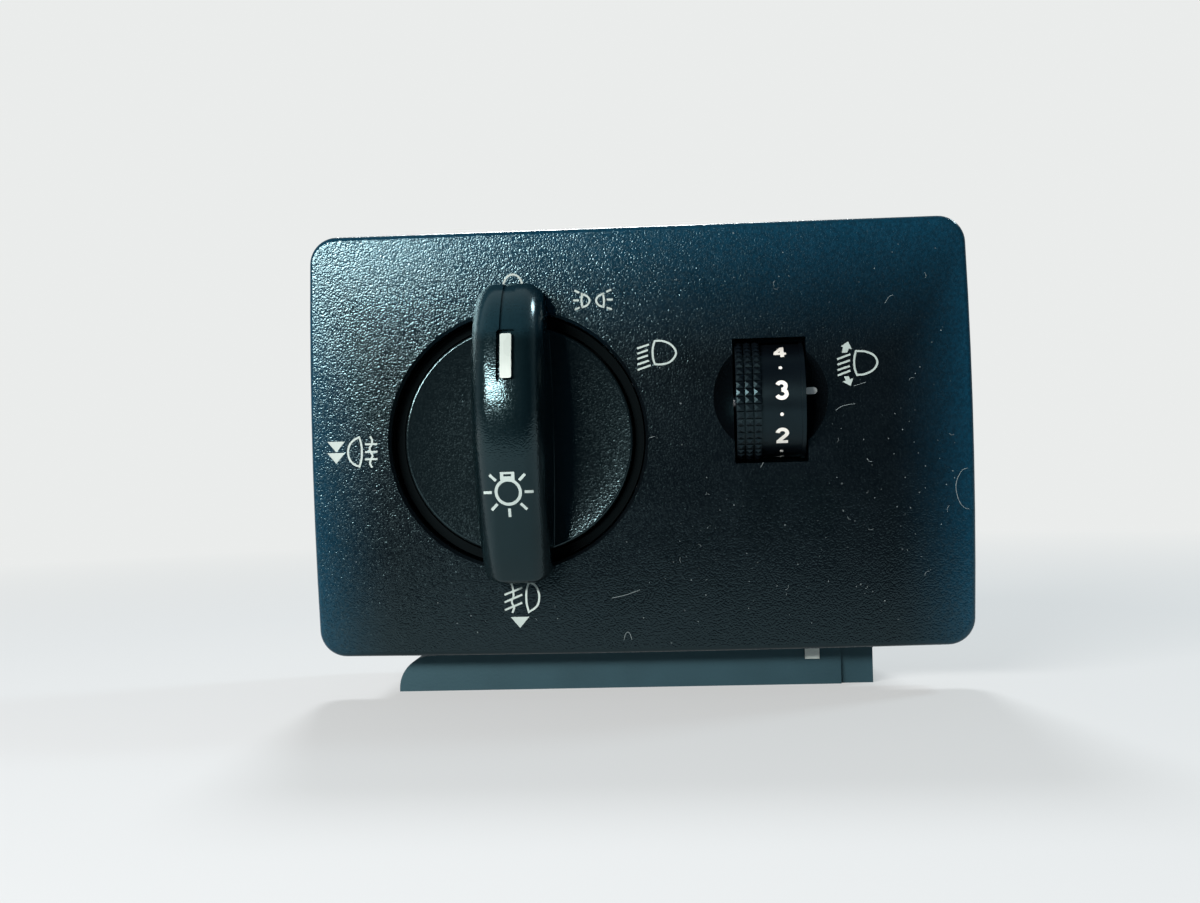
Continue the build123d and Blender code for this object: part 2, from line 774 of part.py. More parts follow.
def snap_loop(x):
    """Springy loop on the cover's top edge, reaching forwards over the case."""
    half = snap_width / 2
    bottom = case_top + fit_gap + rest_gap / 2
    top = bottom + snap_thickness
    front = housing_back + snap_reach
    arm = block(x - half, x + half, bottom, top, housing_back - snap_root, front)
    arm += block(x - half, x + half, case_top - case_wall / 2, bottom, housing_back - snap_root, housing_back)
    half = snap_window_width / 2
    return arm - block(x - half, x + half, bottom, top, front - snap_lip - snap_window_length, front - snap_lip)


def lock_tab():
    """Small white tab in the housing's front wall, just under the plate."""
    tab_top = -plate_height / 2 - lower_bow - tab_drop
    return block(tab_x - tab_width / 2, tab_x + tab_width / 2, tab_top - tab_height, tab_top,
                 seat - tab_sink, seat + tab_stand)


def stem_places():
    return [(stem_arm_x, (guide_arm_low + guide_arm_high) / 2), (knob_x, knob_y - stem_ring_drop)]


def stem(x, y, margin, z0, z1):
    half_width = stem_width / 2 + margin
    half_height = stem_height / 2 + margin
    return block(x - half_width, x + half_width, y - half_height, y + half_height, z0, z1)


def symbol_light_guide():
    """Clear guide behind the plate's symbols, with two stems that reach down to the lamps."""
    body = tube(knob_x, knob_y, guide_outer, guide_inner, guide_back, -plate_wall)
    body += block(knob_x, guide_end, guide_arm_low, guide_arm_high, guide_back, -plate_wall)
    body += block(guide_lobe_left, guide_end, guide_lobe_low, guide_arm_high, guide_back, -plate_wall)
    body -= rod(knob_x, knob_y, guide_inner, guide_back, -plate_wall)
    pad_gap = dish_radius + dish_pad_margin + rest_gap
    body -= rod(dish_x, dish_y, pad_gap, guide_back, -plate_wall)
    body &= Pos(0, 0, guide_back) * extrude(plate_outline(skirt_wall + rest_gap), guide_thickness)
    for x, y in screw_places():
        body -= rod(x, y, post_radius + rest_gap, guide_back, -plate_wall)
    for x, y in stem_places():
        body += stem(x, y, 0, stem_end, guide_back)
    return body


def indicator_lamps():
    half = lamp_side / 2
    lamps = []
    for x, y in stem_places():
        lamps.append(block(x - half, x + half, y - half, y + half, housing_back, housing_back + lamp_height))
    return Compound(lamps)


def circuit_board():
    """Board that fills the cover, with holes for the shaft and the screws."""
    body = Pos(0, 0, housing_back) * extrude(case_outline(case_wall + rest_gap), -board_thickness)
    body -= rod(knob_x, knob_y, shaft_side / 2 * math.sqrt(2) + turn_gap, board_back, housing_back)
    for x, y in screw_places():
        body -= rod(x, y, screw_radius + screw_clearance, board_back, housing_back)
    return body


def contact_tracks():
    """Copper arcs on the board, two on each radius, under the wiper's fingers."""
    tracks = []
    for radius in track_radii:
        ring = tube(knob_x, knob_y, radius + track_width / 2, radius - track_width / 2,
                    housing_back, housing_back + track_thickness)
        gap_width = 2 * radius * math.sin(math.radians((180 - track_arc) / 2))
        reach = 2 * radius
        gap = block(knob_x - reach, knob_x + reach, knob_y - gap_width / 2, knob_y + gap_width / 2,
                    housing_back, housing_back + track_thickness)
        tracks += (ring - gap).solids()
    return Compound(tracks)


def board_resistors():
    parts = []
    for index in range(resistor_count):
        x = resistor_x + (index - (resistor_count - 1) / 2) * resistor_pitch
        parts.append(block(x - resistor_width / 2, x + resistor_width / 2, resistor_y - resistor_length / 2,
                           resistor_y + resistor_length / 2, housing_back, housing_back + resistor_height))
    return Compound(parts)


def fog_contacts():
    """Two sprung blades behind the board, one each side of the slider's path."""
    blades = []
    for side in (-1, 1):
        inner = knob_x + side * (slider_radius + blade_gap)
        outer = inner + side * blade_thickness
        blades.append(block(inner, outer, knob_y - blade_width / 2, knob_y + blade_width / 2,
                            shaft_end, board_back))
    return Compound(blades)


def pin_places():
    places = []
    for row in range(pin_rows):
        for column in range(pin_columns):
            x = socket_x + (column - (pin_columns - 1) / 2) * pin_pitch
            y = socket_y + (row - (pin_rows - 1) / 2) * pin_row_pitch
            places.append((x, y))
    return places


def pin(x, y, z0, z1):
    return block(x - pin_width / 2, x + pin_width / 2, y - pin_thickness / 2, y + pin_thickness / 2, z0, z1)


def terminal_pins():
    """Flat pins from the board through the cover's back wall into the plug socket."""
    return Compound([pin(x, y, cover_back - pin_reach, board_back) for x, y in pin_places()])


def rear_cover():
    """Closed rear shell with the plug socket, screw bosses and the rear half of the foot."""
    body = Pos(0, 0, housing_back) * extrude(case_outline(0), -cover_depth)
    body -= Pos(0, 0, housing_back) * extrude(case_outline(case_wall), case_wall - cover_depth)
    half_width = socket_width / 2
    half_height = socket_height / 2
    outer = block(socket_x - half_width - socket_wall, socket_x + half_width + socket_wall,
                  socket_y - half_height - socket_wall, socket_y + half_height + socket_wall, mouth, cover_back)
    body += fillet(outer.edges().filter_by(Axis.Z), socket_wall)
    body -= block(socket_x - half_width, socket_x + half_width, socket_y - half_height,
                  socket_y + half_height, mouth, cover_back)
    key_half = socket_width / 10
    body += block(socket_x - key_half, socket_x + key_half, socket_y + half_height - socket_key,
                  socket_y + half_height, mouth, cover_back)
    for x, y in screw_places():
        body += rod(x, y, boss_radius, cover_back, board_back)
        body -= rod(x, y, screw_radius + screw_clearance, cover_back, board_back)
        body -= rod(x, y, screw_head_radius + screw_clearance, cover_back, cover_back + screw_head_height)
    for x, y in pin_places():
        body -= pin(x, y, cover_back, cover_inner)
    body -= block(socket_x - latch_width / 2, socket_x + latch_width / 2, socket_y - half_height - socket_wall,
                  socket_y - half_height, mouth + latch_lip, mouth + latch_lip + latch_length)
    for x in snap_places:
        body += snap_loop(x)
    return body


def case_screws():
    """Long screws from the cover's back through board and housing into the plate's posts."""
    screws = []
    tip = -plate_wall - post_cap
    head_front = cover_back + screw_head_height
    for x, y in screw_places():
        screw = rod(x, y, screw_head_radius, cover_back, head_front) + rod(x, y, screw_radius, head_front, tip)
        arm = screw_head_radius * 0.7
        for long_x, long_y in ((arm, screw_slot / 2), (screw_slot / 2, arm)):
            screw -= block(x - long_x, x + long_x, y - long_y, y + long_y, cover_back,
                           cover_back + screw_slot_depth)
        screws.append(screw)
    return Compound(screws)


def spring_clip(side, wall_x):
    """Bent spring strip on one side of the case, with a barb that holds behind the dashboard panel."""
    half = clip_thickness / 2
    front = seat - case_wall
    rear = front - clip_length
    path = Polyline(
        (wall_x + side * half, front),
        (wall_x + side * half, rear),
        (wall_x + side * (half + clip_turn), rear - clip_tail),
        (wall_x + side * (half + clip_bend), rear),
        (wall_x + side * clip_barb, (front + rear) / 2),
        (wall_x + side * (clip_barb - clip_tip), front - clip_lead),
    )
    plane = Plane(origin=(0, clip_y + clip_width / 2, 0), x_dir=(1, 0, 0), z_dir=(0, -1, 0))
    return extrude(plane * trace(path, clip_thickness), clip_width)


def standing(shape):
    """Move a piece from the drawing frame to the standing frame."""
    face_y = (front_reach - rear_reach) / 2
    frame = Plane(origin=(0, face_y, -base_y), x_dir=(1, 0, 0), z_dir=(0, -1, 0))
    return frame.location * shape


pieces = {
    "fascia_plate": fascia_plate,
    "index_mark": index_mark,
    "knob": knob,
    "pointer_lens": pointer_lens,
    "knob_shaft": knob_shaft,
    "pull_slider": pull_slider,
    "slider_retainer": slider_retainer,
    "rotor_cup": rotor_cup,
    "rotor_retaining_ring": rotor_retaining_ring,
    "rotor_wiper": rotor_wiper,
    "pull_detent_clip": pull_detent_clip,
    "detent_springs": detent_springs,
    "level_wheel": level_wheel,
    "level_axle": level_axle,
    "level_potentiometer": level_potentiometer,
    "level_leads": level_leads,
    "level_detent_spring": level_detent_spring,
    "front_housing": front_housing,
    "lock_tab": lock_tab,
    "symbol_light_guide": symbol_light_guide,
    "indicator_lamps": indicator_lamps,
    "circuit_board": circuit_board,
    "contact_tracks": contact_tracks,
    "board_resistors": board_resistors,
    "fog_contacts": fog_contacts,
    "terminal_pins": terminal_pins,
    "rear_cover": rear_cover,
    "case_screws": case_screws,
    "left_clip": lambda: spring_clip(-1, case_left),
    "right_clip": lambda: spring_clip(1, case_right),
}

for name, make in pieces.items():
    export_step(standing(make()), f"parts/{name}.step")
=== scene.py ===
import json
import math

import bmesh
import bpy
from mathutils import Matrix, Vector
from mathutils.bvhtree import BVHTree


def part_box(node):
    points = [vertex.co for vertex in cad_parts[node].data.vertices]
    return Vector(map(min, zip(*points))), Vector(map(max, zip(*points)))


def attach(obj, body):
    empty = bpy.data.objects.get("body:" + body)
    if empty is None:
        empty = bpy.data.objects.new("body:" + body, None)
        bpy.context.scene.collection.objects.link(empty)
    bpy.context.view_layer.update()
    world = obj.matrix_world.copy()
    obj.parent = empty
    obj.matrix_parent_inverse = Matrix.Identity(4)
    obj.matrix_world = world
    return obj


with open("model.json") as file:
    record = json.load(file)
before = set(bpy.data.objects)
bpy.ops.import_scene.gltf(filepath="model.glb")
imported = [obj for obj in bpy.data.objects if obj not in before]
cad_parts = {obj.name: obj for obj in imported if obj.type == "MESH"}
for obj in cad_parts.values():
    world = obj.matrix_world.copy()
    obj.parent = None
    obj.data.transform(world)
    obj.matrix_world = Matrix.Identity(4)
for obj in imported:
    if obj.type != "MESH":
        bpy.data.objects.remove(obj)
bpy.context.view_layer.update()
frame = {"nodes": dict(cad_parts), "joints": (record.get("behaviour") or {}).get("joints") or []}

bl_info = {
    "name": "Headlight switch finish",
    "version": (1, 0, 0),
    "blender": (4, 5, 0),
    "location": "3D View > Sidebar > Switch",
    "description": "Finishes, printed signs, numbered wheel, dust and stage for a dashboard headlight switch",
    "category": "Object",
}

# Places in the part's frame: X to the right, Y to the rear, Z up, all in metres
MM = 0.001
PLATE_LOW, PLATE_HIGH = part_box("fascia_plate")
FACE = PLATE_LOW.y
PLATE_HALF_HEIGHT = 35 * MM
MIDDLE = PLATE_HIGH.z - PLATE_HALF_HEIGHT
JOINT_PLACES = {joint["name"]: Vector(joint["pos_m"]) for joint in frame["joints"] if "pos_m" in joint}
KNOB = JOINT_PLACES["knob_turn"]
WHEEL = JOINT_PLACES["wheel_turn"]


def spot(x, y, out=0.0):
    """A place x and y mm from the plate's middle, and out mm in front of its face."""
    return Vector((x * MM, FACE - out * MM, MIDDLE + y * MM))


# How far in mm a bar that crosses a wave stands above it
BAR_OVERLAP = 0.004
# Printed signs on the plate, in mm from its middle. Each run is a smooth line; runs join at sharp corners.
BEAM_LAMP = [[(3.14, 16.0), (4.37, 15.95), (5.58, 15.46), (6.3, 14.72), (6.59, 13.94), (6.3, 13.2), (5.49, 12.43),
              (4.2, 12.1), (3.07, 12.15)],
             [(3.07, 12.15), (2.8, 13.1), (2.74, 14.12), (2.85, 15.1), (3.14, 16.0)]]
BEAM_RAYS = [((0.22, 14.85), (2.17, 15.42)), ((0.2, 13.97), (1.96, 14.52)), ((0.17, 13.11), (1.97, 13.65)),
             ((0.18, 12.19), (2.09, 12.79)), ((0.17, 11.3), (2.37, 12.0))]
LEVEL_LAMP = [[(35.94, 13.3), (37.54, 13.13), (38.86, 12.47), (39.36, 11.31), (38.71, 10.19), (37.33, 9.5),
               (36.03, 9.39)],
              [(36.03, 9.39), (35.7, 10.3), (35.6, 11.5), (35.72, 12.5), (35.94, 13.3)]]
LEVEL_RAYS = [((32.86, 12.04), (35.02, 12.8)), ((32.88, 11.15), (34.93, 11.81)), ((32.87, 10.25), (34.9, 10.89)),
              ((32.9, 9.39), (34.95, 10.14))]
LEVEL_UP = [(33.65, 13.06), (33.85, 14.0), (33.5, 14.12), (34.7, 14.9), (35.3, 13.62), (34.82, 13.76), (34.5, 13.1)]
LEVEL_DOWN = [(33.9, 9.2), (34.18, 8.5), (33.62, 8.35), (34.95, 7.62), (35.36, 8.86), (34.86, 8.7), (34.66, 9.24)]
REAR_FOG_LAMP = [[(-46.5, 1.5), (-47.45, 1.08), (-48.2, 0.2), (-48.48, -0.93), (-48.25, -2.07), (-47.55, -2.95),
                  (-46.6, -3.37)],
                 [(-46.6, -3.37), (-46.26, -2.19), (-46.14, -0.93), (-46.22, 0.3), (-46.5, 1.5)]]
REAR_FOG_WAVE = [(-44.69, 1.6), (-44.37, 1.02), (-44.46, 0.31), (-44.8, -0.32), (-44.69, -0.97), (-44.38, -1.61),
                 (-44.66, -2.24), (-44.8, -2.95), (-44.45, -3.59)]
REAR_FOG_BARS = [((-45.57, 0.31), (-43.5, 0.31)), ((-45.6, -0.97), (-43.53, -0.97)), ((-45.62, -2.19), (-43.55, -2.19))]
REAR_FOG_MARKS = [[(-51.9, 0.88), (-50.45, -0.93), (-48.93, 0.88)], [(-51.95, -1.02), (-50.5, -2.8), (-48.96, -1.02)]]
FRONT_FOG_LAMP = [[(-18.72, -23.3), (-17.95, -23.65), (-17.38, -24.45), (-17.12, -25.8), (-17.55, -27.25),
                   (-18.92, -28.2)],
                  [(-18.92, -28.2), (-19.25, -26.74), (-19.27, -25.13), (-19.05, -24.0), (-18.72, -23.3)]]
FRONT_FOG_WAVE = [(-21.7, -23.4), (-21.45, -24.4), (-21.42, -25.6), (-21.72, -26.3), (-21.6, -26.85), (-21.35, -27.4),
                  (-21.67, -28.28)]
FRONT_FOG_BARS = [((-22.89, -25.27), (-19.91, -24.14)), ((-22.92, -26.51), (-19.95, -25.3)),
                  ((-22.91, -27.8), (-19.98, -26.64))]
FRONT_FOG_MARK = [(-21.96, -28.98), (-20.44, -30.8), (-18.88, -28.98)]
SIDE_LAMPS = [[[(-8.66, 24.12), (-7.83, 23.72), (-7.42, 23.02), (-7.85, 22.25), (-8.64, 21.96)],
               [(-8.64, 21.96), (-8.76, 23.05), (-8.66, 24.12)]],
              [[(-5.17, 24.04), (-5.95, 23.68), (-6.34, 22.97), (-5.95, 22.2), (-5.15, 21.86)],
               [(-5.15, 21.86), (-5.04, 22.94), (-5.17, 24.04)]]]
SIDE_RAYS = [((-9.9, 24.74), (-9.07, 24.34)), ((-10.13, 23.12), (-9.19, 23.08)), ((-9.91, 21.56), (-9.1, 21.91)),
             ((-4.6, 24.33), (-3.78, 24.72)), ((-4.55, 23.07), (-3.59, 23.05)), ((-4.62, 21.76), (-3.79, 21.42))]
# The ring at the top: its middle, half its width and half its height
ZERO = (-20.1, 25.6, 1.6, 2.15)
# The bulb on the bar: its middle, then in mm from there its boxes as left, top, right, low, and its rays' ends
BULB = (-20.25, -7.95)
BULB_RADIUS = 1.93
BULB_CAP = (-1.14, 3.2, 1.14, 1.92)
BULB_SLOT = (-0.62, 2.86, 0.62, 2.5)
BULB_RAYS = (2.62, 3.98)
BULB_RAY_SHARE = 0.92
BULB_OVERLAP = 0.004


# What settings of one kind have in common
LENGTH = {"unit": "LENGTH", "precision": 5}
COLOUR = {"subtype": "COLOR", "size": 3, "min": 0, "max": 1}
SHARE = {"subtype": "FACTOR", "min": 0, "max": 1}


class PrintSettings(bpy.types.PropertyGroup):
    """Sizes and colours of the printed signs and numbers."""
    stroke: bpy.props.FloatProperty(
        name="Stroke", description="Width of the printed lines", default=0.32 * MM, **LENGTH)
    bulb_stroke: bpy.props.FloatProperty(
        name="Bulb stroke", description="Width of the lines of the bulb sign", default=0.48 * MM, **LENGTH)
    ink: bpy.props.FloatProperty(
        name="Ink", description="How far the ink stands above the surface", default=0.02 * MM, **LENGTH)
    colour: bpy.props.FloatVectorProperty(
        name="Ink colour", description="Colour of the signs on the plate", default=(0.3, 0.38, 0.37), **COLOUR)
    bulb_colour: bpy.props.FloatVectorProperty(
        name="Bulb colour", description="Colour of the bulb sign on the bar", default=(0.36, 0.45, 0.44), **COLOUR)
    number_colour: bpy.props.FloatVectorProperty(
        name="Number colour", description="Colour of the wheel's numbers", default=(0.78, 0.8, 0.76), **COLOUR)


class FinishSettings(bpy.types.PropertyGroup):
    """Colours, grain and gloss of the moulded fronts."""
    grain: bpy.props.FloatProperty(
        name="Grain", description="Size of the leather grain's pimples", default=0.26 * MM, **LENGTH)
    grain_depth: bpy.props.FloatProperty(
        name="Grain depth", description="Height of the grain", default=0.036 * MM, unit="LENGTH", precision=6)
    glint: bpy.props.FloatProperty(
        name="Glint", description="How much the roughness changes from pimple to pimple", default=0.048, **SHARE)
    plate_colour: bpy.props.FloatVectorProperty(
        name="Plate", description="Colour of the plate", default=(0.0016, 0.0026, 0.0036), **COLOUR)
    # Painted reflection: a bluish colour mixed into the plate's base colour along its top and side edges, standing in
    # for the reflections seen there
    painted_sheen_colour: bpy.props.FloatVectorProperty(
        name="Plate edge", description="Bluish bloom along the plate's edges", default=(0.003, 0.03, 0.056), **COLOUR)
    knob_colour: bpy.props.FloatVectorProperty(
        name="Knob", description="Colour of the knob", default=(0.002, 0.006, 0.0075), **COLOUR)
    gloss: bpy.props.FloatProperty(
        name="Gloss", description="Strength of the reflections on the moulded fronts", default=0.5, **SHARE)
    sheen: bpy.props.FloatVectorProperty(
        name="Sheen", description="Colour of the reflections on the moulded fronts", default=(0.55, 0.9, 1.0), **COLOUR)
    plate_roughness: bpy.props.FloatProperty(
        name="Plate roughness", description="Roughness of the plate's plastic", default=0.178, **SHARE)
    knob_roughness: bpy.props.FloatProperty(
        name="Knob roughness", description="Roughness of the knob's plastic", default=0.18, **SHARE)


class WheelSettings(bpy.types.PropertyGroup):
    """Sizes of the wheel's numbers and of its tread."""
    band_radius: bpy.props.FloatProperty(
        name="Band radius", description="Radius of the numbered band", default=9.4 * MM, **LENGTH)
    number_height: bpy.props.FloatProperty(
        name="Number height", description="Height of a number", default=3.1 * MM, **LENGTH)
    step: bpy.props.FloatProperty(
        name="Step", description="Turn from one number to the next", default=math.radians(48), subtype="ANGLE")
    tread_radius: bpy.props.FloatProperty(
        name="Tread radius", description="Radius on which the studs stand", default=9.86 * MM, **LENGTH)
    stud_height: bpy.props.FloatProperty(
        name="Stud height", description="Height of a stud above that radius", default=0.29 * MM, **LENGTH)
    stud_width: bpy.props.FloatProperty(
        name="Stud width", description="Width of a stud across the wheel", default=1.167 * MM, **LENGTH)
    stud_length: bpy.props.FloatProperty(
        name="Stud length", description="Length of a stud round the wheel", default=1.05 * MM, **LENGTH)
    studs: bpy.props.IntProperty(name="Studs", description="Studs round the wheel in each row", default=50, min=8)
    rows: bpy.props.IntProperty(name="Rows", description="Rows of studs", default=3, min=1)
    row_spacing: bpy.props.FloatProperty(
        name="Row spacing", description="From one row of studs to the next", default=1.417 * MM, **LENGTH)


class DustSettings(bpy.types.PropertyGroup):
    """Dust and fibres that lie on the plate."""
    fibre: bpy.props.FloatProperty(name="Fibre", description="Radius of a fibre", default=0.035 * MM, **LENGTH)
    speck: bpy.props.FloatProperty(
        name="Speck", description="Radius of the largest grains of dust", default=0.11 * MM, **LENGTH)
    specks: bpy.props.FloatProperty(
        name="Specks", description="Grains of dust on a square centimetre of the lower right", default=6.5, min=0)
    lint: bpy.props.FloatProperty(
        name="Lint", description="Short curls on a square centimetre of the lower right", default=0.9, min=0)
    seed: bpy.props.IntProperty(name="Seed", description="Seed of the dust's places", default=7)


class StageSettings(bpy.types.PropertyGroup):
    """Floor, backdrop and light."""
    floor_colour: bpy.props.FloatVectorProperty(
        name="Floor", description="Colour of the floor", default=(0.55, 0.573, 0.595), **COLOUR)
    wall_colour: bpy.props.FloatVectorProperty(
        name="Backdrop", description="Colour that the camera sees behind", default=(0.825, 0.84, 0.833), **COLOUR)
    glow: bpy.props.FloatProperty(
        name="Floor glow", description="Share of the floor's own white that the camera sees", default=0.5, **SHARE)
    key_power: bpy.props.FloatProperty(
        name="Key light", description="Power of the strip at the upper left", default=9.6, unit="POWER")
    rim_power: bpy.props.FloatProperty(
        name="Rim light", description="Power of the small lamp above, at the right", default=1.2, unit="POWER")
    sun: bpy.props.FloatProperty(
        name="Overhead light", description="Strength of the light above and behind", default=2.1, min=0)
    room: bpy.props.FloatProperty(
        name="Room light", description="Strength of the light from the sides and behind", default=0.4, min=0)


class Desk:
    """Adds and joins the nodes of one tree."""

    def __init__(self, tree):
        self.tree = tree

    def add(self, kind, **settings):
        node = self.tree.nodes.new(kind)
        for name, value in settings.items():
            setattr(node, name, value)
        return node

    def join(self, source, socket):
        """Joins a socket to another node's socket, or sets it to a value."""
        if isinstance(source, bpy.types.NodeSocket):
            self.tree.links.new(source, socket)
        else:
            socket.default_value = source

    def fill(self, node, **sources):
        """Joins or sets a node's sockets by name."""
        for name, source in sources.items():
            self.join(source, node.inputs[name.replace("_", " ")])
        return node

    def along(self, vector, axis):
        """One coordinate of a vector."""
        return self.fill(self.add("ShaderNodeSeparateXYZ"), Vector=vector).outputs[axis]

    def ramp(self, source, low, high, start=0.0, end=1.0):
        """A value that goes from start to end as the source goes from low to high."""
        node = self.add("ShaderNodeMapRange")
        return self.fill(node, Value=source, From_Min=low, From_Max=high, To_Min=start, To_Max=end).outputs["Result"]

    def maths(self, operation, first, second=0.0):
        node = self.add("ShaderNodeMath", operation=operation)
        self.join(first, node.inputs[0])
        self.join(second, node.inputs[1])
        return node.outputs["Value"]

    def blend_colours(self, share, low, high):
        """From the low colour to the high one, as the share goes from 0 to 1."""
        node = self.fill(self.add("ShaderNodeMix", data_type="RGBA"), Factor=share)
        for socket, value in zip((node.inputs[6], node.inputs[7]), (low, high)):
            self.join((*value, 1) if isinstance(value, tuple) else value, socket)
        return node.outputs[2]


class NodeDesk(Desk):
    """Adds and joins the nodes of one new material."""

    def __init__(self, name):
        self.material = bpy.data.materials.new(name)
        self.material.use_nodes = True
        super().__init__(self.material.node_tree)
        self.tree.nodes.clear()
        self.shader = self.add("ShaderNodeBsdfPrincipled")
        self.output = self.fill(self.add("ShaderNodeOutputMaterial"), Surface=self.shader.outputs["BSDF"])
        self.place = self.add("ShaderNodeTexCoord").outputs["Object"]

    def noise(self, size, detail=2.0, rough=0.5, stretch=None):
        """Noise whose blobs are size metres across."""
        place = self.place
        if stretch:
            place = self.fill(self.add("ShaderNodeMapping"), Vector=place, Scale=stretch).outputs["Vector"]
        node = self.add("ShaderNodeTexNoise")
        return self.fill(node, Vector=place, Scale=1 / size, Detail=detail, Roughness=rough).outputs["Fac"]

    def bump(self, height, strength, distance):
        """Relief in the shading only; at strength 1 a height of 1 stands the distance high."""
        node = self.fill(self.add("ShaderNodeBump"), Height=height, Strength=strength, Distance=distance)
        self.fill(self.shader, Normal=node.outputs["Normal"])
        return node


def tone(colour, factor):
    """The colour made lighter or darker."""
    return tuple(min(1.0, channel * factor) for channel in colour)


# Most of a noise lies between these values
NOISE = (0.3, 0.7)


def moulded(name, colour, roughness, grain=0.35 * MM, depth=0.02 * MM, spread=0.08, speckle=0.12, gloss=0.5,
            sheen=(1, 1, 1)):
    """Moulded plastic: fine grain, with slow changes of tone and gloss."""
    desk = NodeDesk(name)
    slow = desk.noise(9 * MM, 3.0)
    mixed = desk.blend_colours(desk.ramp(slow, *NOISE), tone(colour, 1 - speckle), tone(colour, 1 + speckle))
    rough = desk.ramp(slow, *NOISE, roughness - spread / 2, roughness + spread / 2)
    desk.fill(desk.shader, Base_Color=mixed, Roughness=rough, Specular_IOR_Level=gloss, Specular_Tint=(*sheen, 1))
    desk.bump(desk.noise(grain, 2.0, 0.55), 1.0, depth)
    return desk


# Leather grain: size of the slow changes of tone, and size, spread and strength of the mottling in the painted edge
# reflection
SLOW_SIZE = 7 * MM
CLOUD_SIZE = 0.45 * MM
CLOUDS = (0.35, 0.65, 0.78, 1.22)
PLATE_ROUGHNESS_SPREAD = (-0.01, 0.012)
# Where the plate's painted bluish edge reflection begins and is full, in metres sideways and upwards from its middle
SIDE_SHEEN_BAND = (0.04, 0.056)
TOP_SHEEN_BAND = (0.012, 0.037)
SIDE_SHEEN_POWER = 2.2
TOP_SHEEN_POWER = 1.6
# Dust that sits in the plate's grain: cells to a metre, size of a dot in its cell, and which cells have one
DOT_CELLS = 420.0
DOT_SIZE = (0.045, 0.075)
DOT_CHANCE = (0.86, 0.9)
DOT_COLOUR = (0.16, 0.2, 0.21)
DOT_STRENGTH = 0.5
# The bar's steep end above the knob's middle, and the step from the bar to the disc behind the plate's face
BAR_END = (15.5 * MM, 18 * MM)
DISC_STEP = (0.2 * MM, 1.4 * MM)
# Painted bluish reflection on the bar's polished steep end, mixed into the knob's colour there
BAR_END_SHEEN_COLOUR = (0.006, 0.019, 0.026)
DISC_COLOUR = (0.003, 0.0055, 0.0065)
DISC_ROUGHNESS = 0.16
# Depth of the knob's grain against the plate's, and what is left of it on the bar, on its end and on the disc
KNOB_GRAIN = 1.2
BAR_GRAIN = 0.7
BAR_END_GRAIN = 0.06
DISC_GRAIN = 0.7
# The disc's hollow is this many times its radius to the fourth power; the bar's top is round to a radius
DISC_HOLLOW = 4900
BAR_CROWN_RADIUS = 15 * MM


def grained(name, settings, colour, painted_sheen_colour, share):
    """Black plastic with fine leather grain; where share says, a mottled painted reflection colour comes in."""
    desk = NodeDesk(name)
    desk.fill(desk.shader, Specular_IOR_Level=settings.gloss, Specular_Tint=(*settings.sheen, 1))
    slow = desk.noise(SLOW_SIZE, 3.0)
    even = desk.blend_colours(desk.ramp(slow, *NOISE), tone(colour, 0.85), tone(colour, 1.15))
    cloudy = desk.ramp(desk.noise(CLOUD_SIZE, 1.0), *CLOUDS)
    mixed = desk.blend_colours(desk.maths("MULTIPLY", share(desk), cloudy), even, tuple(painted_sheen_colour))
    grain = desk.noise(settings.grain, 0.0)
    glints = desk.ramp(grain, *NOISE, -settings.glint, settings.glint)
    return desk, mixed, slow, grain, glints


def plate_edge_sheen_share(desk):
    """Rises from 0 inside the plate to 1 at its top and side edges, where the painted bluish reflection comes in."""
    begins, full = TOP_SHEEN_BAND
    side = desk.ramp(desk.maths("ABSOLUTE", desk.along(desk.place, "X")), *SIDE_SHEEN_BAND)
    top = desk.ramp(desk.along(desk.place, "Z"), MIDDLE + begins, MIDDLE + full)
    return desk.maths("MAXIMUM", desk.maths("POWER", side, SIDE_SHEEN_POWER), desk.maths("POWER", top, TOP_SHEEN_POWER))


def fascia_finish():
    """Black grained plastic with pale dust in its grain, and a painted bluish reflection along its top and side edges.
    """
    settings = bpy.context.scene.switch_finish
    desk, colour, slow, grain, glints = grained("fascia_black", settings, settings.plate_colour, settings.painted_sheen_colour,
                                                plate_edge_sheen_share)
    smoother, rougher = [settings.plate_roughness + step for step in PLATE_ROUGHNESS_SPREAD]
    rough = desk.maths("ADD", desk.ramp(slow, *NOISE, smoother, rougher), glints)
    dots = desk.fill(desk.add("ShaderNodeTexVoronoi"), Scale=DOT_CELLS, Vector=desk.place)
    rare = desk.fill(desk.add("ShaderNodeSeparateColor"), Color=dots.outputs["Color"])
    near = desk.ramp(dots.outputs["Distance"], *DOT_SIZE, 1.0, 0.0)
    specks = desk.maths("MULTIPLY", near, desk.ramp(rare.outputs["Red"], *DOT_CHANCE))
    dusty = desk.blend_colours(desk.maths("MULTIPLY", specks, DOT_STRENGTH), colour, DOT_COLOUR)
    desk.fill(desk.shader, Base_Color=dusty, Roughness=rough)
    desk.bump(grain, 1.0, settings.grain_depth)
    return desk.material


def bar_end(desk):
    """Rises to 1 on the polished upper end of the bar, where the grain fades and the painted reflection comes in."""
    begins, full = BAR_END
    return desk.ramp(desk.along(desk.place, "Z"), KNOB.z + begins, KNOB.z + full)


def disc_share(desk):
    """1 on the knob's flat disc, 0 on the bar that stands on it."""
    begins, full = DISC_STEP
    return desk.ramp(desk.along(desk.place, "Y"), FACE + begins, FACE + full)


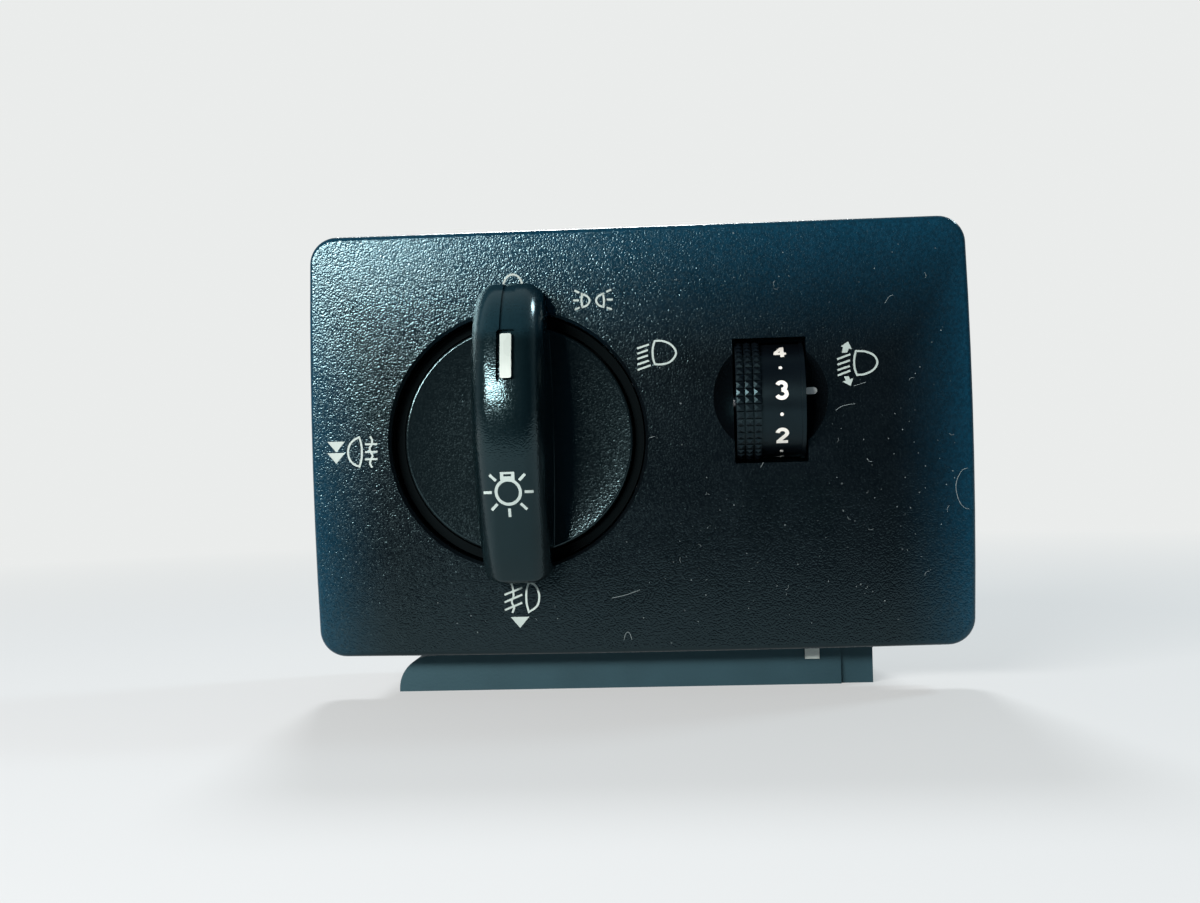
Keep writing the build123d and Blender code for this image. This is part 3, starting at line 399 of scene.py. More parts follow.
def knob_finish():
    """Black grained plastic, smooth on the bar's steep upper end, with a painted bluish reflection mixed into its
    colour there.
    """
    settings = bpy.context.scene.switch_finish
    desk, colour, _, grain, glints = grained("knob_black", settings, settings.knob_colour, BAR_END_SHEEN_COLOUR, bar_end)
    disc = disc_share(desk)
    rough = desk.maths("ADD", desk.ramp(disc, 0.0, 1.0, settings.knob_roughness, DISC_ROUGHNESS), glints)
    desk.fill(desk.shader, Base_Color=desk.blend_colours(disc, colour, DISC_COLOUR), Roughness=rough)
    on_bar = desk.ramp(bar_end(desk), 0.0, 1.0, BAR_GRAIN, BAR_END_GRAIN)
    on_disc = desk.ramp(disc, 0.0, 1.0, 1.0, DISC_GRAIN)
    height = desk.maths("MULTIPLY", grain, desk.maths("MULTIPLY", on_bar, on_disc))
    fine = desk.bump(height, 1.0, KNOB_GRAIN * settings.grain_depth)
    shape = desk.fill(desk.add("ShaderNodeBump"), Strength=1.0, Distance=1.0, Height=knob_swell(desk, disc))
    desk.fill(fine, Normal=shape.outputs["Normal"])
    return desk.material


def knob_swell(desk, disc):
    """The disc's slight hollow and the bar's crowned top, as heights in metres."""
    side, level = [desk.maths("POWER", desk.maths("ABSOLUTE", desk.maths("SUBTRACT", along, middle)), 2)
                   for along, middle in ((desk.along(desk.place, "X"), KNOB.x), (desk.along(desk.place, "Z"), KNOB.z))]
    hollow = desk.maths("MULTIPLY", desk.maths("POWER", desk.maths("ADD", side, level), 2), DISC_HOLLOW)
    crown = desk.maths("MULTIPLY", side, -1 / (2 * BAR_CROWN_RADIUS))
    return desk.maths("ADD", desk.maths("MULTIPLY", disc, hollow),
                      desk.maths("MULTIPLY", desk.maths("SUBTRACT", 1, disc), crown))


def metal(name, colour, roughness, grain=0.5 * MM, stretch=(1, 8, 1)):
    """Rolled or drawn metal, with faint lines along one direction."""
    desk = NodeDesk(name)
    lines = desk.noise(grain, 3.0, 0.6, stretch)
    mixed = desk.blend_colours(lines, tone(colour, 0.82), tone(colour, 1.1))
    rough = desk.ramp(lines, *NOISE, roughness - 0.06, roughness + 0.08)
    desk.fill(desk.shader, Base_Color=mixed, Roughness=rough, Metallic=1.0)
    desk.bump(lines, 0.3, 0.01 * MM)
    return desk.material


def clear_finish():
    """Clear light guide."""
    desk = moulded("clear_plastic", (0.8, 0.88, 0.9), 0.12, 2 * MM, 0.01 * MM, 0.04, 0.04)
    desk.fill(desk.shader, Transmission_Weight=0.85, IOR=1.49)
    return desk.material


def ink_finish(name, colour):
    """Pad-printed ink, a little uneven."""
    return moulded(name, tuple(colour), 0.5, 0.2 * MM, 0.004 * MM, 0.1, 0.1).material


def dust_finish():
    """Pale lint, one material for the dust and the fibres."""
    made = bpy.data.materials.get("lint")
    return made or moulded("lint", (0.2, 0.25, 0.26), 0.8, 0.1 * MM, 0.01 * MM, gloss=0.2).material


def plastic(*values, **more):
    """A moulded finish that is made when it is called."""
    return lambda: moulded(*values, **more).material


BLUISH = (0.5, 0.88, 1.0)
FINISHES = {
    "fascia_plate": fascia_finish,
    "knob": knob_finish,
    # Rotor cup: near black and almost without gloss, painted shade for the dark ring of the recess round the disc
    "rotor_cup": plastic("cup_black", (0.001, 0.0011, 0.0013), 0.6, 0.8 * MM, 0.004 * MM, gloss=0.05, sheen=BLUISH),
    "level_wheel": plastic("wheel_black", (0.0015, 0.0025, 0.004), 0.33, 0.6 * MM, 0.006 * MM, gloss=0.34,
                           sheen=BLUISH),
    # Housing and rear cover: their own black plastic, made lighter and bluer to the tone of the deep shade under the
    # plate where the foot shows, so partly painted shade
    "front_housing": plastic("case_plastic", (0.007, 0.022, 0.031), 0.5, 0.5 * MM, 0.02 * MM, sheen=BLUISH),
    "index_mark": plastic("white_mark", (0.84, 0.94, 0.92), 0.35, 0.5 * MM, 0.004 * MM),
    "pointer_lens": plastic("white_plastic", (0.42, 0.5, 0.48), 0.3, 0.6 * MM, 0.003 * MM),
    "symbol_light_guide": clear_finish,
    "case_screws": lambda: metal("spring_steel", (0.56, 0.57, 0.6), 0.3),
    "terminal_pins": lambda: metal("copper", (0.8, 0.58, 0.36), 0.28, stretch=(6, 1, 6)),
    "circuit_board": plastic("board_green", (0.02, 0.13, 0.07), 0.3, 1.2 * MM, 0.01 * MM),
    "level_potentiometer": plastic("pot_blue", (0.04, 0.1, 0.3), 0.35, 0.6 * MM, 0.008 * MM),
    "knob_shaft": plastic("natural_plastic", (0.62, 0.6, 0.53), 0.4, 0.5 * MM, 0.008 * MM),
    "board_resistors": plastic("ceramic_black", (0.03, 0.03, 0.035), 0.3, 0.3 * MM, 0.004 * MM),
}
SHARED_FINISHES = {
    "front_housing": ["rear_cover"],
    "pointer_lens": ["lock_tab", "indicator_lamps"],
    "case_screws": ["slider_retainer", "rotor_retaining_ring", "pull_detent_clip", "detent_springs", "level_axle",
                    "level_detent_spring", "left_clip", "right_clip"],
    "terminal_pins": ["pull_slider", "rotor_wiper", "level_leads", "contact_tracks", "fog_contacts"],
}


def smooth_line(points, steps=6):
    """A smooth line through the points."""
    padded = [points[0]] + list(points) + [points[-1]]
    line = []
    for a, b, c, d in zip(padded, padded[1:], padded[2:], padded[3:]):
        for step in range(steps):
            t = step / steps
            line.append(tuple(0.5 * (2 * q + (r - p) * t + (2 * p - 5 * q + 4 * r - s) * t ** 2
                                     + (3 * q - p - 3 * r + s) * t ** 3) for p, q, r, s in zip(a, b, c, d)))
    return line + [tuple(points[-1])]


def closed_line(runs):
    """Smooth runs joined at their ends into one closed line."""
    line = []
    for run in runs:
        line += smooth_line(run)[:-1]
    return line


def arc_line(x, y, radius_x, radius_y, start, end, steps=20):
    """Part of an ellipse, from a start to an end in degrees."""
    line = []
    for step in range(steps + 1):
        angle = math.radians(start + (end - start) * step / steps)
        line.append((x + radius_x * math.cos(angle), y + radius_y * math.sin(angle)))
    return line


def ring_line(x, y, radius_x, radius_y):
    """A closed ellipse, with no point twice."""
    return arc_line(x, y, radius_x, radius_y, 0, 350, 35)


def straight_line(start, end, spacing=0.3):
    """Points from a start to an end, no further apart than the spacing."""
    steps = max(1, round(math.dist(start, end) / spacing))
    return [tuple(a + (b - a) * step / steps for a, b in zip(start, end)) for step in range(steps + 1)]


# A band that turns a corner grows no wider there than its width over this
LEAST_LEAN = 0.45
# The bulb sign is cast onto the bar from this far in front of the plate, in mm
CAST_FROM = 60


class InkMesh:
    """Collects thin printed shapes, drawn flat in mm, as closed solids."""

    def __init__(self, place, ink):
        self.mesh = bmesh.new()
        self.place = place
        self.ink = ink / MM

    def stroke(self, line, width, closed=False, lift=0.0):
        """A band of even width along a line."""
        width = width / MM
        count = len(line)
        stations = []
        for index, point in enumerate(line):
            before = line[index - 1] if closed or index else point
            after = line[(index + 1) % count] if closed or index < count - 1 else point
            arriving = (Vector(point) - Vector(before)).normalized()
            leaving = (Vector(after) - Vector(point)).normalized()
            along = (arriving + leaving).normalized()
            across = Vector((-along.y, along.x))
            lean = max(LEAST_LEAN, abs(across.dot(Vector((-leaving.y, leaving.x)) if leaving.length else across)))
            half = across * (width / 2 / lean)
            corners = [(Vector(point) + half, self.ink + lift), (Vector(point) - half, self.ink + lift),
                       (Vector(point) - half, -self.ink), (Vector(point) + half, -self.ink)]
            stations.append([self.mesh.verts.new(self.place(p.x, p.y, out)) for p, out in corners])
        last = count if closed else count - 1
        for index in range(last):
            here, there = stations[index], stations[(index + 1) % count]
            for corner in range(4):
                following = (corner + 1) % 4
                self.mesh.faces.new((here[corner], here[following], there[following], there[corner]))
        if not closed:
            self.mesh.faces.new(reversed(stations[0]))
            self.mesh.faces.new(stations[-1])

    def patch(self, outline, lift=0.0):
        """A filled shape."""
        top = [self.mesh.verts.new(self.place(x, y, self.ink + lift)) for x, y in outline]
        base = [self.mesh.verts.new(self.place(x, y, -self.ink)) for x, y in outline]
        self.mesh.faces.new(top)
        self.mesh.faces.new(reversed(base))
        for index in range(len(outline)):
            following = (index + 1) % len(outline)
            self.mesh.faces.new((top[index], base[index], base[following], top[following]))

    def finish(self, name, body, slot, material):
        bmesh.ops.recalc_face_normals(self.mesh, faces=self.mesh.faces)
        return piece_from(self.mesh, name, body, material)


def piece_of(data, name, body):
    """Makes a finished mesh a named piece that rides on a body."""
    piece = bpy.data.objects.new(name, data)
    bpy.context.scene.collection.objects.link(piece)
    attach(piece, body)
    return piece


def piece_from(mesh, name, body, material):
    """Turns a bmesh into a named piece that rides on a body."""
    data = bpy.data.meshes.new(name)
    mesh.to_mesh(data)
    mesh.free()
    data.materials.append(material)
    return piece_of(data, name, body)


class SWITCH_OT_finishes(bpy.types.Operator):
    """Gives every moulded, turned and stamped piece its finish"""
    bl_idname = "switch.finishes"
    bl_label = "Finishes"

    def execute(self, context):
        for leader, make in FINISHES.items():
            material = make()
            for node in [leader] + SHARED_FINISHES.get(leader, []):
                piece = frame["nodes"][node]
                piece.data.materials.clear()
                piece.data.materials.append(material)
        return {"FINISHED"}


class SWITCH_OT_plate_signs(bpy.types.Operator):
    """Prints the lamp signs on the plate"""
    bl_idname = "switch.plate_signs"
    bl_label = "Plate signs"

    def execute(self, context):
        settings = context.scene.switch_print
        ink = InkMesh(spot, settings.ink)
        for runs in (BEAM_LAMP, LEVEL_LAMP, REAR_FOG_LAMP, FRONT_FOG_LAMP, *SIDE_LAMPS):
            ink.stroke(closed_line(runs), settings.stroke, closed=True)
        for ray in BEAM_RAYS + LEVEL_RAYS + SIDE_RAYS:
            ink.stroke(list(ray), settings.stroke)
        for bar in REAR_FOG_BARS + FRONT_FOG_BARS:
            ink.stroke(list(bar), settings.stroke, lift=BAR_OVERLAP)
        for wave in (REAR_FOG_WAVE, FRONT_FOG_WAVE):
            ink.stroke(smooth_line(wave), settings.stroke)
        for outline in (LEVEL_UP, LEVEL_DOWN, *REAR_FOG_MARKS, FRONT_FOG_MARK):
            ink.patch(outline)
        ink.stroke(ring_line(*ZERO), settings.stroke, closed=True)
        ink.finish("plate_signs", "housing", "white_plastic", ink_finish("sign_ink", settings.colour))
        return {"FINISHED"}


class SWITCH_OT_bulb_sign(bpy.types.Operator):
    """Prints the bulb sign on the knob's bar"""
    bl_idname = "switch.bulb_sign"
    bl_label = "Bulb sign"

    def execute(self, context):
        settings = context.scene.switch_print
        knob = frame["nodes"]["knob"].data
        tree = BVHTree.FromPolygons([v.co for v in knob.vertices], [p.vertices for p in knob.polygons])

        def on_bar(x, y, out):
            start = spot(BULB[0] + x, BULB[1] + y, CAST_FROM)
            place = tree.ray_cast(start, Vector((0, 1, 0)))[0]
            if place is None:
                raise RuntimeError("the bulb sign misses the bar")
            return place - Vector((0, out * MM, 0))

        ink = InkMesh(on_bar, settings.ink)
        ink.stroke(ring_line(0, 0, BULB_RADIUS, BULB_RADIUS), settings.bulb_stroke, closed=True)
        left, top, right, low = BULB_CAP
        slot_left, slot_top, slot_right, slot_low = BULB_SLOT
        for box in ((left, top, right, slot_top), (left, slot_low, right, low), (left, slot_top, slot_left, slot_low),
                    (slot_right, slot_top, right, slot_low)):
            ink.patch([(box[0], box[1]), (box[0], box[3]), (box[2], box[3]), (box[2], box[1])], lift=BULB_OVERLAP)
        for degrees in range(135, 450, 45):
            angle = math.radians(degrees)
            start, end = [(r * math.cos(angle), r * math.sin(angle)) for r in BULB_RAYS]
            ink.stroke(straight_line(start, end), settings.bulb_stroke * BULB_RAY_SHARE)
        ink.finish("bulb_sign", "knob", "white_plastic", ink_finish("bulb_ink", settings.bulb_colour))
        return {"FINISHED"}


# Numbers in a box one high, as middle lines of their strokes
NUMBERS = {
    0: [arc_line(0.36, 0.5, 0.245, 0.41, 90, 440, 35)],
    1: [[(0.16, 0.74), (0.3, 0.8), (0.42, 0.95)], [(0.42, 1.0), (0.42, 0.0)]],
    2: [arc_line(0.36, 0.69, 0.245, 0.225, 175, -32, 18) + [(0.13, 0.1)], [(0.06, 0.085), (0.66, 0.085)]],
    3: [arc_line(0.35, 0.715, 0.22, 0.2, 160, -90, 20), arc_line(0.35, 0.3, 0.255, 0.215, 90, -160, 20)],
    4: [[(0.48, 1.0), (0.48, 0.0)], [(0.48, 0.93), (0.12, 0.32)], [(0.03, 0.29), (0.69, 0.29)]],
}
# Width of their strokes and middle of their box in the same measure, and how far in mm a stroke stands above the last
NUMBER_STROKE = 0.205
NUMBER_MIDDLE = (0.36, 0.5)
NUMBER_LIFT = 0.003
# Where numbers and dots stand across the plate, the dots' radius, and how far the shown number sits above the wheel's
# middle, all in mm
NUMBER_X = 23.5
DOT_X = 23.45
DOT_RADIUS = 0.3
NUMBER_RAISE = 1.45
SHOWN_NUMBER = 3


class SWITCH_OT_wheel_numbers(bpy.types.Operator):
    """Prints the numbers and dots round the wheel"""
    bl_idname = "switch.wheel_numbers"
    bl_label = "Wheel numbers"

    def execute(self, context):
        printing = context.scene.switch_print
        wheel = context.scene.switch_wheel
        high = wheel.number_height / MM
        radius = wheel.band_radius / MM
        across, up = NUMBER_MIDDLE

        def on_band(x, y, out):
            angle = y / radius
            reach = (radius + out) * MM
            return Vector((x * MM, WHEEL.y - reach * math.cos(angle), WHEEL.z + reach * math.sin(angle)))

        ink = InkMesh(on_band, printing.ink)
        for number, strokes in NUMBERS.items():
            middle = (number - SHOWN_NUMBER) * wheel.step * radius + NUMBER_RAISE
            for index, stroke in enumerate(strokes):
                line = []
                for start, end in zip(stroke, stroke[1:]):
                    line += straight_line(start, end, 0.12)[:-1]
                line.append(stroke[-1])
                places = [(NUMBER_X + (x - across) * high, middle + (y - up) * high) for x, y in line]
                ink.stroke(places, NUMBER_STROKE * wheel.number_height, closed=number == 0, lift=NUMBER_LIFT * index)
            if number:
                dot = middle - wheel.step * radius / 2
                turns = [step * math.pi / 5 for step in range(10)]
                ink.patch([(DOT_X + DOT_RADIUS * math.cos(t), dot + DOT_RADIUS * math.sin(t)) for t in turns])
        ink.finish("wheel_numbers", "wheel", "white_plastic", ink_finish("number_ink", printing.number_colour))
        return {"FINISHED"}


class TreeDesk(Desk):
    """A geometry tree with named inputs, and short ways to add and join its nodes."""

    def __init__(self, name, **inputs):
        super().__init__(bpy.data.node_groups.new(name, "GeometryNodeTree"))
        for label, kind in {"Geometry": "Geometry", **inputs}.items():
            self.tree.interface.new_socket(label, in_out="INPUT", socket_type="NodeSocket" + kind)
        self.tree.interface.new_socket("Geometry", in_out="OUTPUT", socket_type="NodeSocketGeometry")
        self.given = self.add("NodeGroupInput").outputs

    def make(self, kind, **sources):
        """What a new node makes of its sources."""
        return self.fill(self.add(kind), **sources).outputs[0]

    def vector(self, x, y, z):
        return self.make("ShaderNodeCombineXYZ", X=x, Y=y, Z=z)

    def chance(self, low, high, seed):
        """A number between low and high, drawn anew for each point."""
        node = self.add("FunctionNodeRandomValue", data_type="FLOAT")
        sockets = {socket.name: socket for socket in node.inputs if socket.enabled}
        for name, value in (("Min", low), ("Max", high), ("Seed", seed)):
            self.join(value, sockets[name])
        return next(socket for socket in node.outputs if socket.enabled)

    def finish(self, geometry, material):
        """Ends the tree with real geometry in one material."""
        real = self.make("GeometryNodeRealizeInstances", Geometry=geometry)
        done = self.make("GeometryNodeSetMaterial", Geometry=real, Material=material)
        self.join(done, self.add("NodeGroupOutput").inputs[0])

    def run(self, name, start=None, **values):
        """Runs the tree on a start mesh and returns the result as a plain mesh."""
        helper = bpy.data.objects.new(name, start or bpy.data.meshes.new(name))
        bpy.context.scene.collection.objects.link(helper)
        modifier = helper.modifiers.new("tree", "NODES")
        modifier.node_group = self.tree
        sockets = {item.name: item.identifier for item in self.tree.interface.items_tree if item.in_out == "INPUT"}
        for label, value in values.items():
            modifier[sockets[label]] = value
        graph = bpy.context.evaluated_depsgraph_get()
        result = bpy.data.meshes.new_from_object(helper.evaluated_get(graph))
        result.name = name
        bpy.data.objects.remove(helper)
        return result


class SWITCH_OT_wheel_tread(bpy.types.Operator):
    """Sets rows of small pyramids on the wheel's ridges"""
    bl_idname = "switch.wheel_tread"
    bl_label = "Wheel tread"

    def execute(self, context):
        wheel = context.scene.switch_wheel
        desk = TreeDesk("wheel_tread", Studs="Int", Rows="Int", Radius="Float", Height="Float", Width="Float",
                        Length="Float", Spacing="Float", Centre="Vector")
        given = desk.given
        index = desk.make("GeometryNodeInputIndex")
        row = desk.maths("FLOOR", desk.maths("DIVIDE", index, given["Studs"]))
        place = desk.maths("SUBTRACT", index, desk.maths("MULTIPLY", row, given["Studs"]))
        angle = desk.maths("DIVIDE", desk.maths("MULTIPLY", desk.maths("ADD", place, 0.5), math.tau), given["Studs"])
        side = desk.maths("MULTIPLY", desk.maths("ADD", row, 0.5), given["Spacing"])
        front = desk.maths("MULTIPLY", desk.maths("SINE", angle), desk.maths("MULTIPLY", given["Radius"], -1.0))
        high = desk.maths("MULTIPLY", desk.maths("COSINE", angle), given["Radius"])
        at = desk.vector(side, front, high)
        count = desk.maths("MULTIPLY", given["Studs"], given["Rows"])
        points = desk.make("GeometryNodePoints", Count=count, Position=at)
        cone = desk.make("GeometryNodeMeshCone", Vertices=4, Radius_Top=0.0, Radius_Bottom=math.sqrt(0.5), Depth=1.0)
        square = desk.make("GeometryNodeTransform", Geometry=cone, Rotation=(0, 0, math.radians(45)))
        stud = desk.make("GeometryNodeTransform", Geometry=square,
                         Scale=desk.vector(given["Width"], given["Length"], given["Height"]))
        studs = desk.make("GeometryNodeInstanceOnPoints", Points=points, Instance=stud,
                          Rotation=desk.vector(angle, 0.0, 0.0))
        placed = desk.make("GeometryNodeTransform", Geometry=studs, Translation=given["Centre"])
        desk.finish(placed, frame["nodes"]["level_wheel"].data.materials[0])
        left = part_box("level_wheel")[0].x - (wheel.row_spacing - wheel.stud_width) / 2
        data = desk.run("wheel_tread", Studs=wheel.studs, Rows=wheel.rows, Radius=wheel.tread_radius,
                        Height=wheel.stud_height, Width=wheel.stud_width, Length=wheel.stud_length,
                        Spacing=wheel.row_spacing, Centre=(left, WHEEL.y, WHEEL.z))
        piece_of(data, "wheel_tread", "wheel")
        return {"FINISHED"}


# Fibres that lie on the plate, in mm from its middle
FIBRES = [
    [(53.4, -6.3), (52.4, -6.8), (51.5, -8.85), (51.76, -11.14), (52.6, -12.6), (53.5, -12.95)],
    [(40.86, 20.97), (41.35, 21.75), (41.7, 22.09), (42.19, 22.23)],
    [(35.43, 7.58), (36.46, 7.89), (37.4, 8.14)],
    [(32.42, 3.71), (33.2, 4.25), (34.0, 4.5), (35.56, 4.71)],
    [(37.26, -4.26), (37.57, -4.73), (38.05, -4.82)],
    [(19.88, -5.26), (20.2, -4.9), (20.45, -4.4)],
    [(1.82, 0.04), (2.7, 0.28)],
    [(-3.29, -33.16), (-3.0, -32.2), (-2.59, -31.85), (-2.2, -32.3), (-1.97, -33.18)],
    [(-5.08, -26.19), (-2.9, -25.75), (-0.42, -24.97)],
]
# Fields of the plate with dust: left, low, right, high, share of the full dust
DUST_FIELDS = [(31, -31, 52, 4, 1.0), (5, -31, 31, -6, 0.9), (42, 4, 52, 31, 0.7), (2, 17, 42, 31, 0.3),
               (-38, -32, 5, -23, 0.35), (2, -6, 11, 17, 0.3), (-52, -31, -43, 31, 0.25)]
SQUARE_CENTIMETRE = 0.0001
# A curl of lint as three points in metres, a speck's shape, and the sizes that both come in
CURL = ((-0.4 * MM, 0, 0), (0.05 * MM, 0.35 * MM, 0), (0.4 * MM, -0.05 * MM, 0))
CURL_THICKNESS = 0.6
CURL_SIZES = (0.5, 1.3)
SPECK_SHAPE = (1.0, 0.35, 0.7)
SPECK_SIZES = (0.35, 1.0)


class SWITCH_OT_fibres(bpy.types.Operator):
    """Lays the hairs and fibres on the plate"""
    bl_idname = "switch.fibres"
    bl_label = "Fibres"

    def execute(self, context):
        dust = context.scene.switch_dust
        lines = bmesh.new()
        for fibre in FIBRES:
            path = [lines.verts.new(spot(x, y, dust.fibre / MM)) for x, y in smooth_line(fibre)]
            for here, there in zip(path, path[1:]):
                lines.edges.new((here, there))
        start = bpy.data.meshes.new("fibre_lines")
        lines.to_mesh(start)
        lines.free()
        desk = TreeDesk("fibres", Thickness="Float")
        paths = desk.make("GeometryNodeMeshToCurve", Mesh=desk.given["Geometry"])
        ring = desk.make("GeometryNodeCurvePrimitiveCircle", Resolution=6, Radius=desk.given["Thickness"])
        tubes = desk.make("GeometryNodeCurveToMesh", Curve=paths, Profile_Curve=ring, Fill_Caps=True)
        desk.finish(tubes, dust_finish())
        piece_of(desk.run("fibres", start, Thickness=dust.fibre), "fibres", "housing")
        return {"FINISHED"}


class SWITCH_OT_dust(bpy.types.Operator):
    """Scatters dust over the plate's free fields"""
    bl_idname = "switch.dust"
    bl_label = "Dust"

    def execute(self, context):
        dust = context.scene.switch_dust
        fields = bmesh.new()
        share = fields.verts.layers.float.new("share")
        for left, low, right, high, part in DUST_FIELDS:
            corners = [fields.verts.new(spot(x, y))
                       for x, y in ((left, low), (right, low), (right, high), (left, high))]
            for corner in corners:
                corner[share] = part
            fields.faces.new(corners)
        start = bpy.data.meshes.new("dust_fields")
        fields.to_mesh(start)
        fields.free()
        desk = TreeDesk("dust", Specks="Float", Lint="Float", Speck="Float", Thickness="Float", Seed="Int")
        given = desk.given
        cover = desk.make("GeometryNodeInputNamedAttribute", Name="share")
        speck = desk.make("GeometryNodeMeshIcoSphere", Radius=given["Speck"], Subdivisions=1)
        curl = desk.make("GeometryNodeCurveQuadraticBezier", Resolution=5, Start=CURL[0], Middle=CURL[1], End=CURL[2])
        ring = desk.make("GeometryNodeCurvePrimitiveCircle", Resolution=5, Radius=given["Thickness"])
        curl = desk.make("GeometryNodeCurveToMesh", Curve=curl, Profile_Curve=ring, Fill_Caps=True)
        lying = desk.make("GeometryNodeTransform", Geometry=curl, Rotation=(math.radians(90), 0, 0))
        flat = desk.make("GeometryNodeTransform", Geometry=speck, Scale=SPECK_SHAPE)
        whole = []
        for number, (thing, amount, sizes) in enumerate(((flat, given["Specks"], SPECK_SIZES),
                                                         (lying, given["Lint"], CURL_SIZES))):
            seed = desk.maths("ADD", given["Seed"], 10 * number)
            points = desk.make("GeometryNodeDistributePointsOnFaces", Mesh=given["Geometry"],
                               Density=desk.maths("MULTIPLY", cover, amount), Seed=seed)
            size = desk.chance(*sizes, desk.maths("ADD", seed, 1))
            turn = desk.chance(0.0, math.tau, desk.maths("ADD", seed, 2))
            whole.append(desk.make("GeometryNodeInstanceOnPoints", Points=points, Instance=thing,
                                   Rotation=desk.vector(0.0, turn, 0.0), Scale=desk.vector(size, size, size)))
        joined = desk.add("GeometryNodeJoinGeometry")
        for geometry in whole:
            desk.join(geometry, joined.inputs[0])
        desk.finish(joined.outputs[0], dust_finish())
        data = desk.run("dust", start, Specks=dust.specks / SQUARE_CENTIMETRE, Lint=dust.lint / SQUARE_CENTIMETRE,
                        Speck=dust.speck, Thickness=CURL_THICKNESS * dust.fibre, Seed=dust.seed)
        piece_of(data, "dust", "housing")
        return {"FINISHED"}


# The floor in metres: half its width, how far it reaches in front of the plate and to the rear, and the distances from
# the middle between which it brightens to the backdrop's white
FLOOR_SIDE = 1.6
FLOOR_FRONT = 0.14
FLOOR_REAR = 1.6
FLOOR_FADE = (0.15, 0.45)
# Room: its colour in front of the plate, its tint behind, and how far to either side of level one turns into the other
FRONT_COLOUR = (0.02, 0.045, 0.065)
ROOM_TINT = (0.8, 0.95, 1.0)
ROOM_TURN = 0.35
# Lamps: what each aims at, in mm on the plate, its place from there in metres, its size and its colour
KEY_AIM = (-50, 30)
KEY_PLACE = (-0.33, -0.56, 0.155)
KEY_SIZE = (0.50, 0.07)
KEY_COLOUR = (1.0, 0.93, 0.88)
RIM_AIM = (-18, 24, 10)
RIM_PLACE = (0.42, 0.24, 0.42)
RIM_SIZE = (0.10, 0.10)
RIM_COLOUR = (0.8, 0.95, 1.0)
# Light overhead: the way it shines and how wide its disc looks
SUN_WAY = (0.1, -1.0, -0.92)
SUN_WIDTH = math.radians(12)
# Camera: lens and sensor in mm, distances in metres, what it aims at in mm on the plate, and its turns in degrees
LENS = 47.25
SENSOR = 36
NEAREST = 0.01
DISTANCE = 0.26
CAMERA_AIM = (-6.39, -1.96)
YAW, PITCH, ROLL = 3.63, 0.08, -1.59


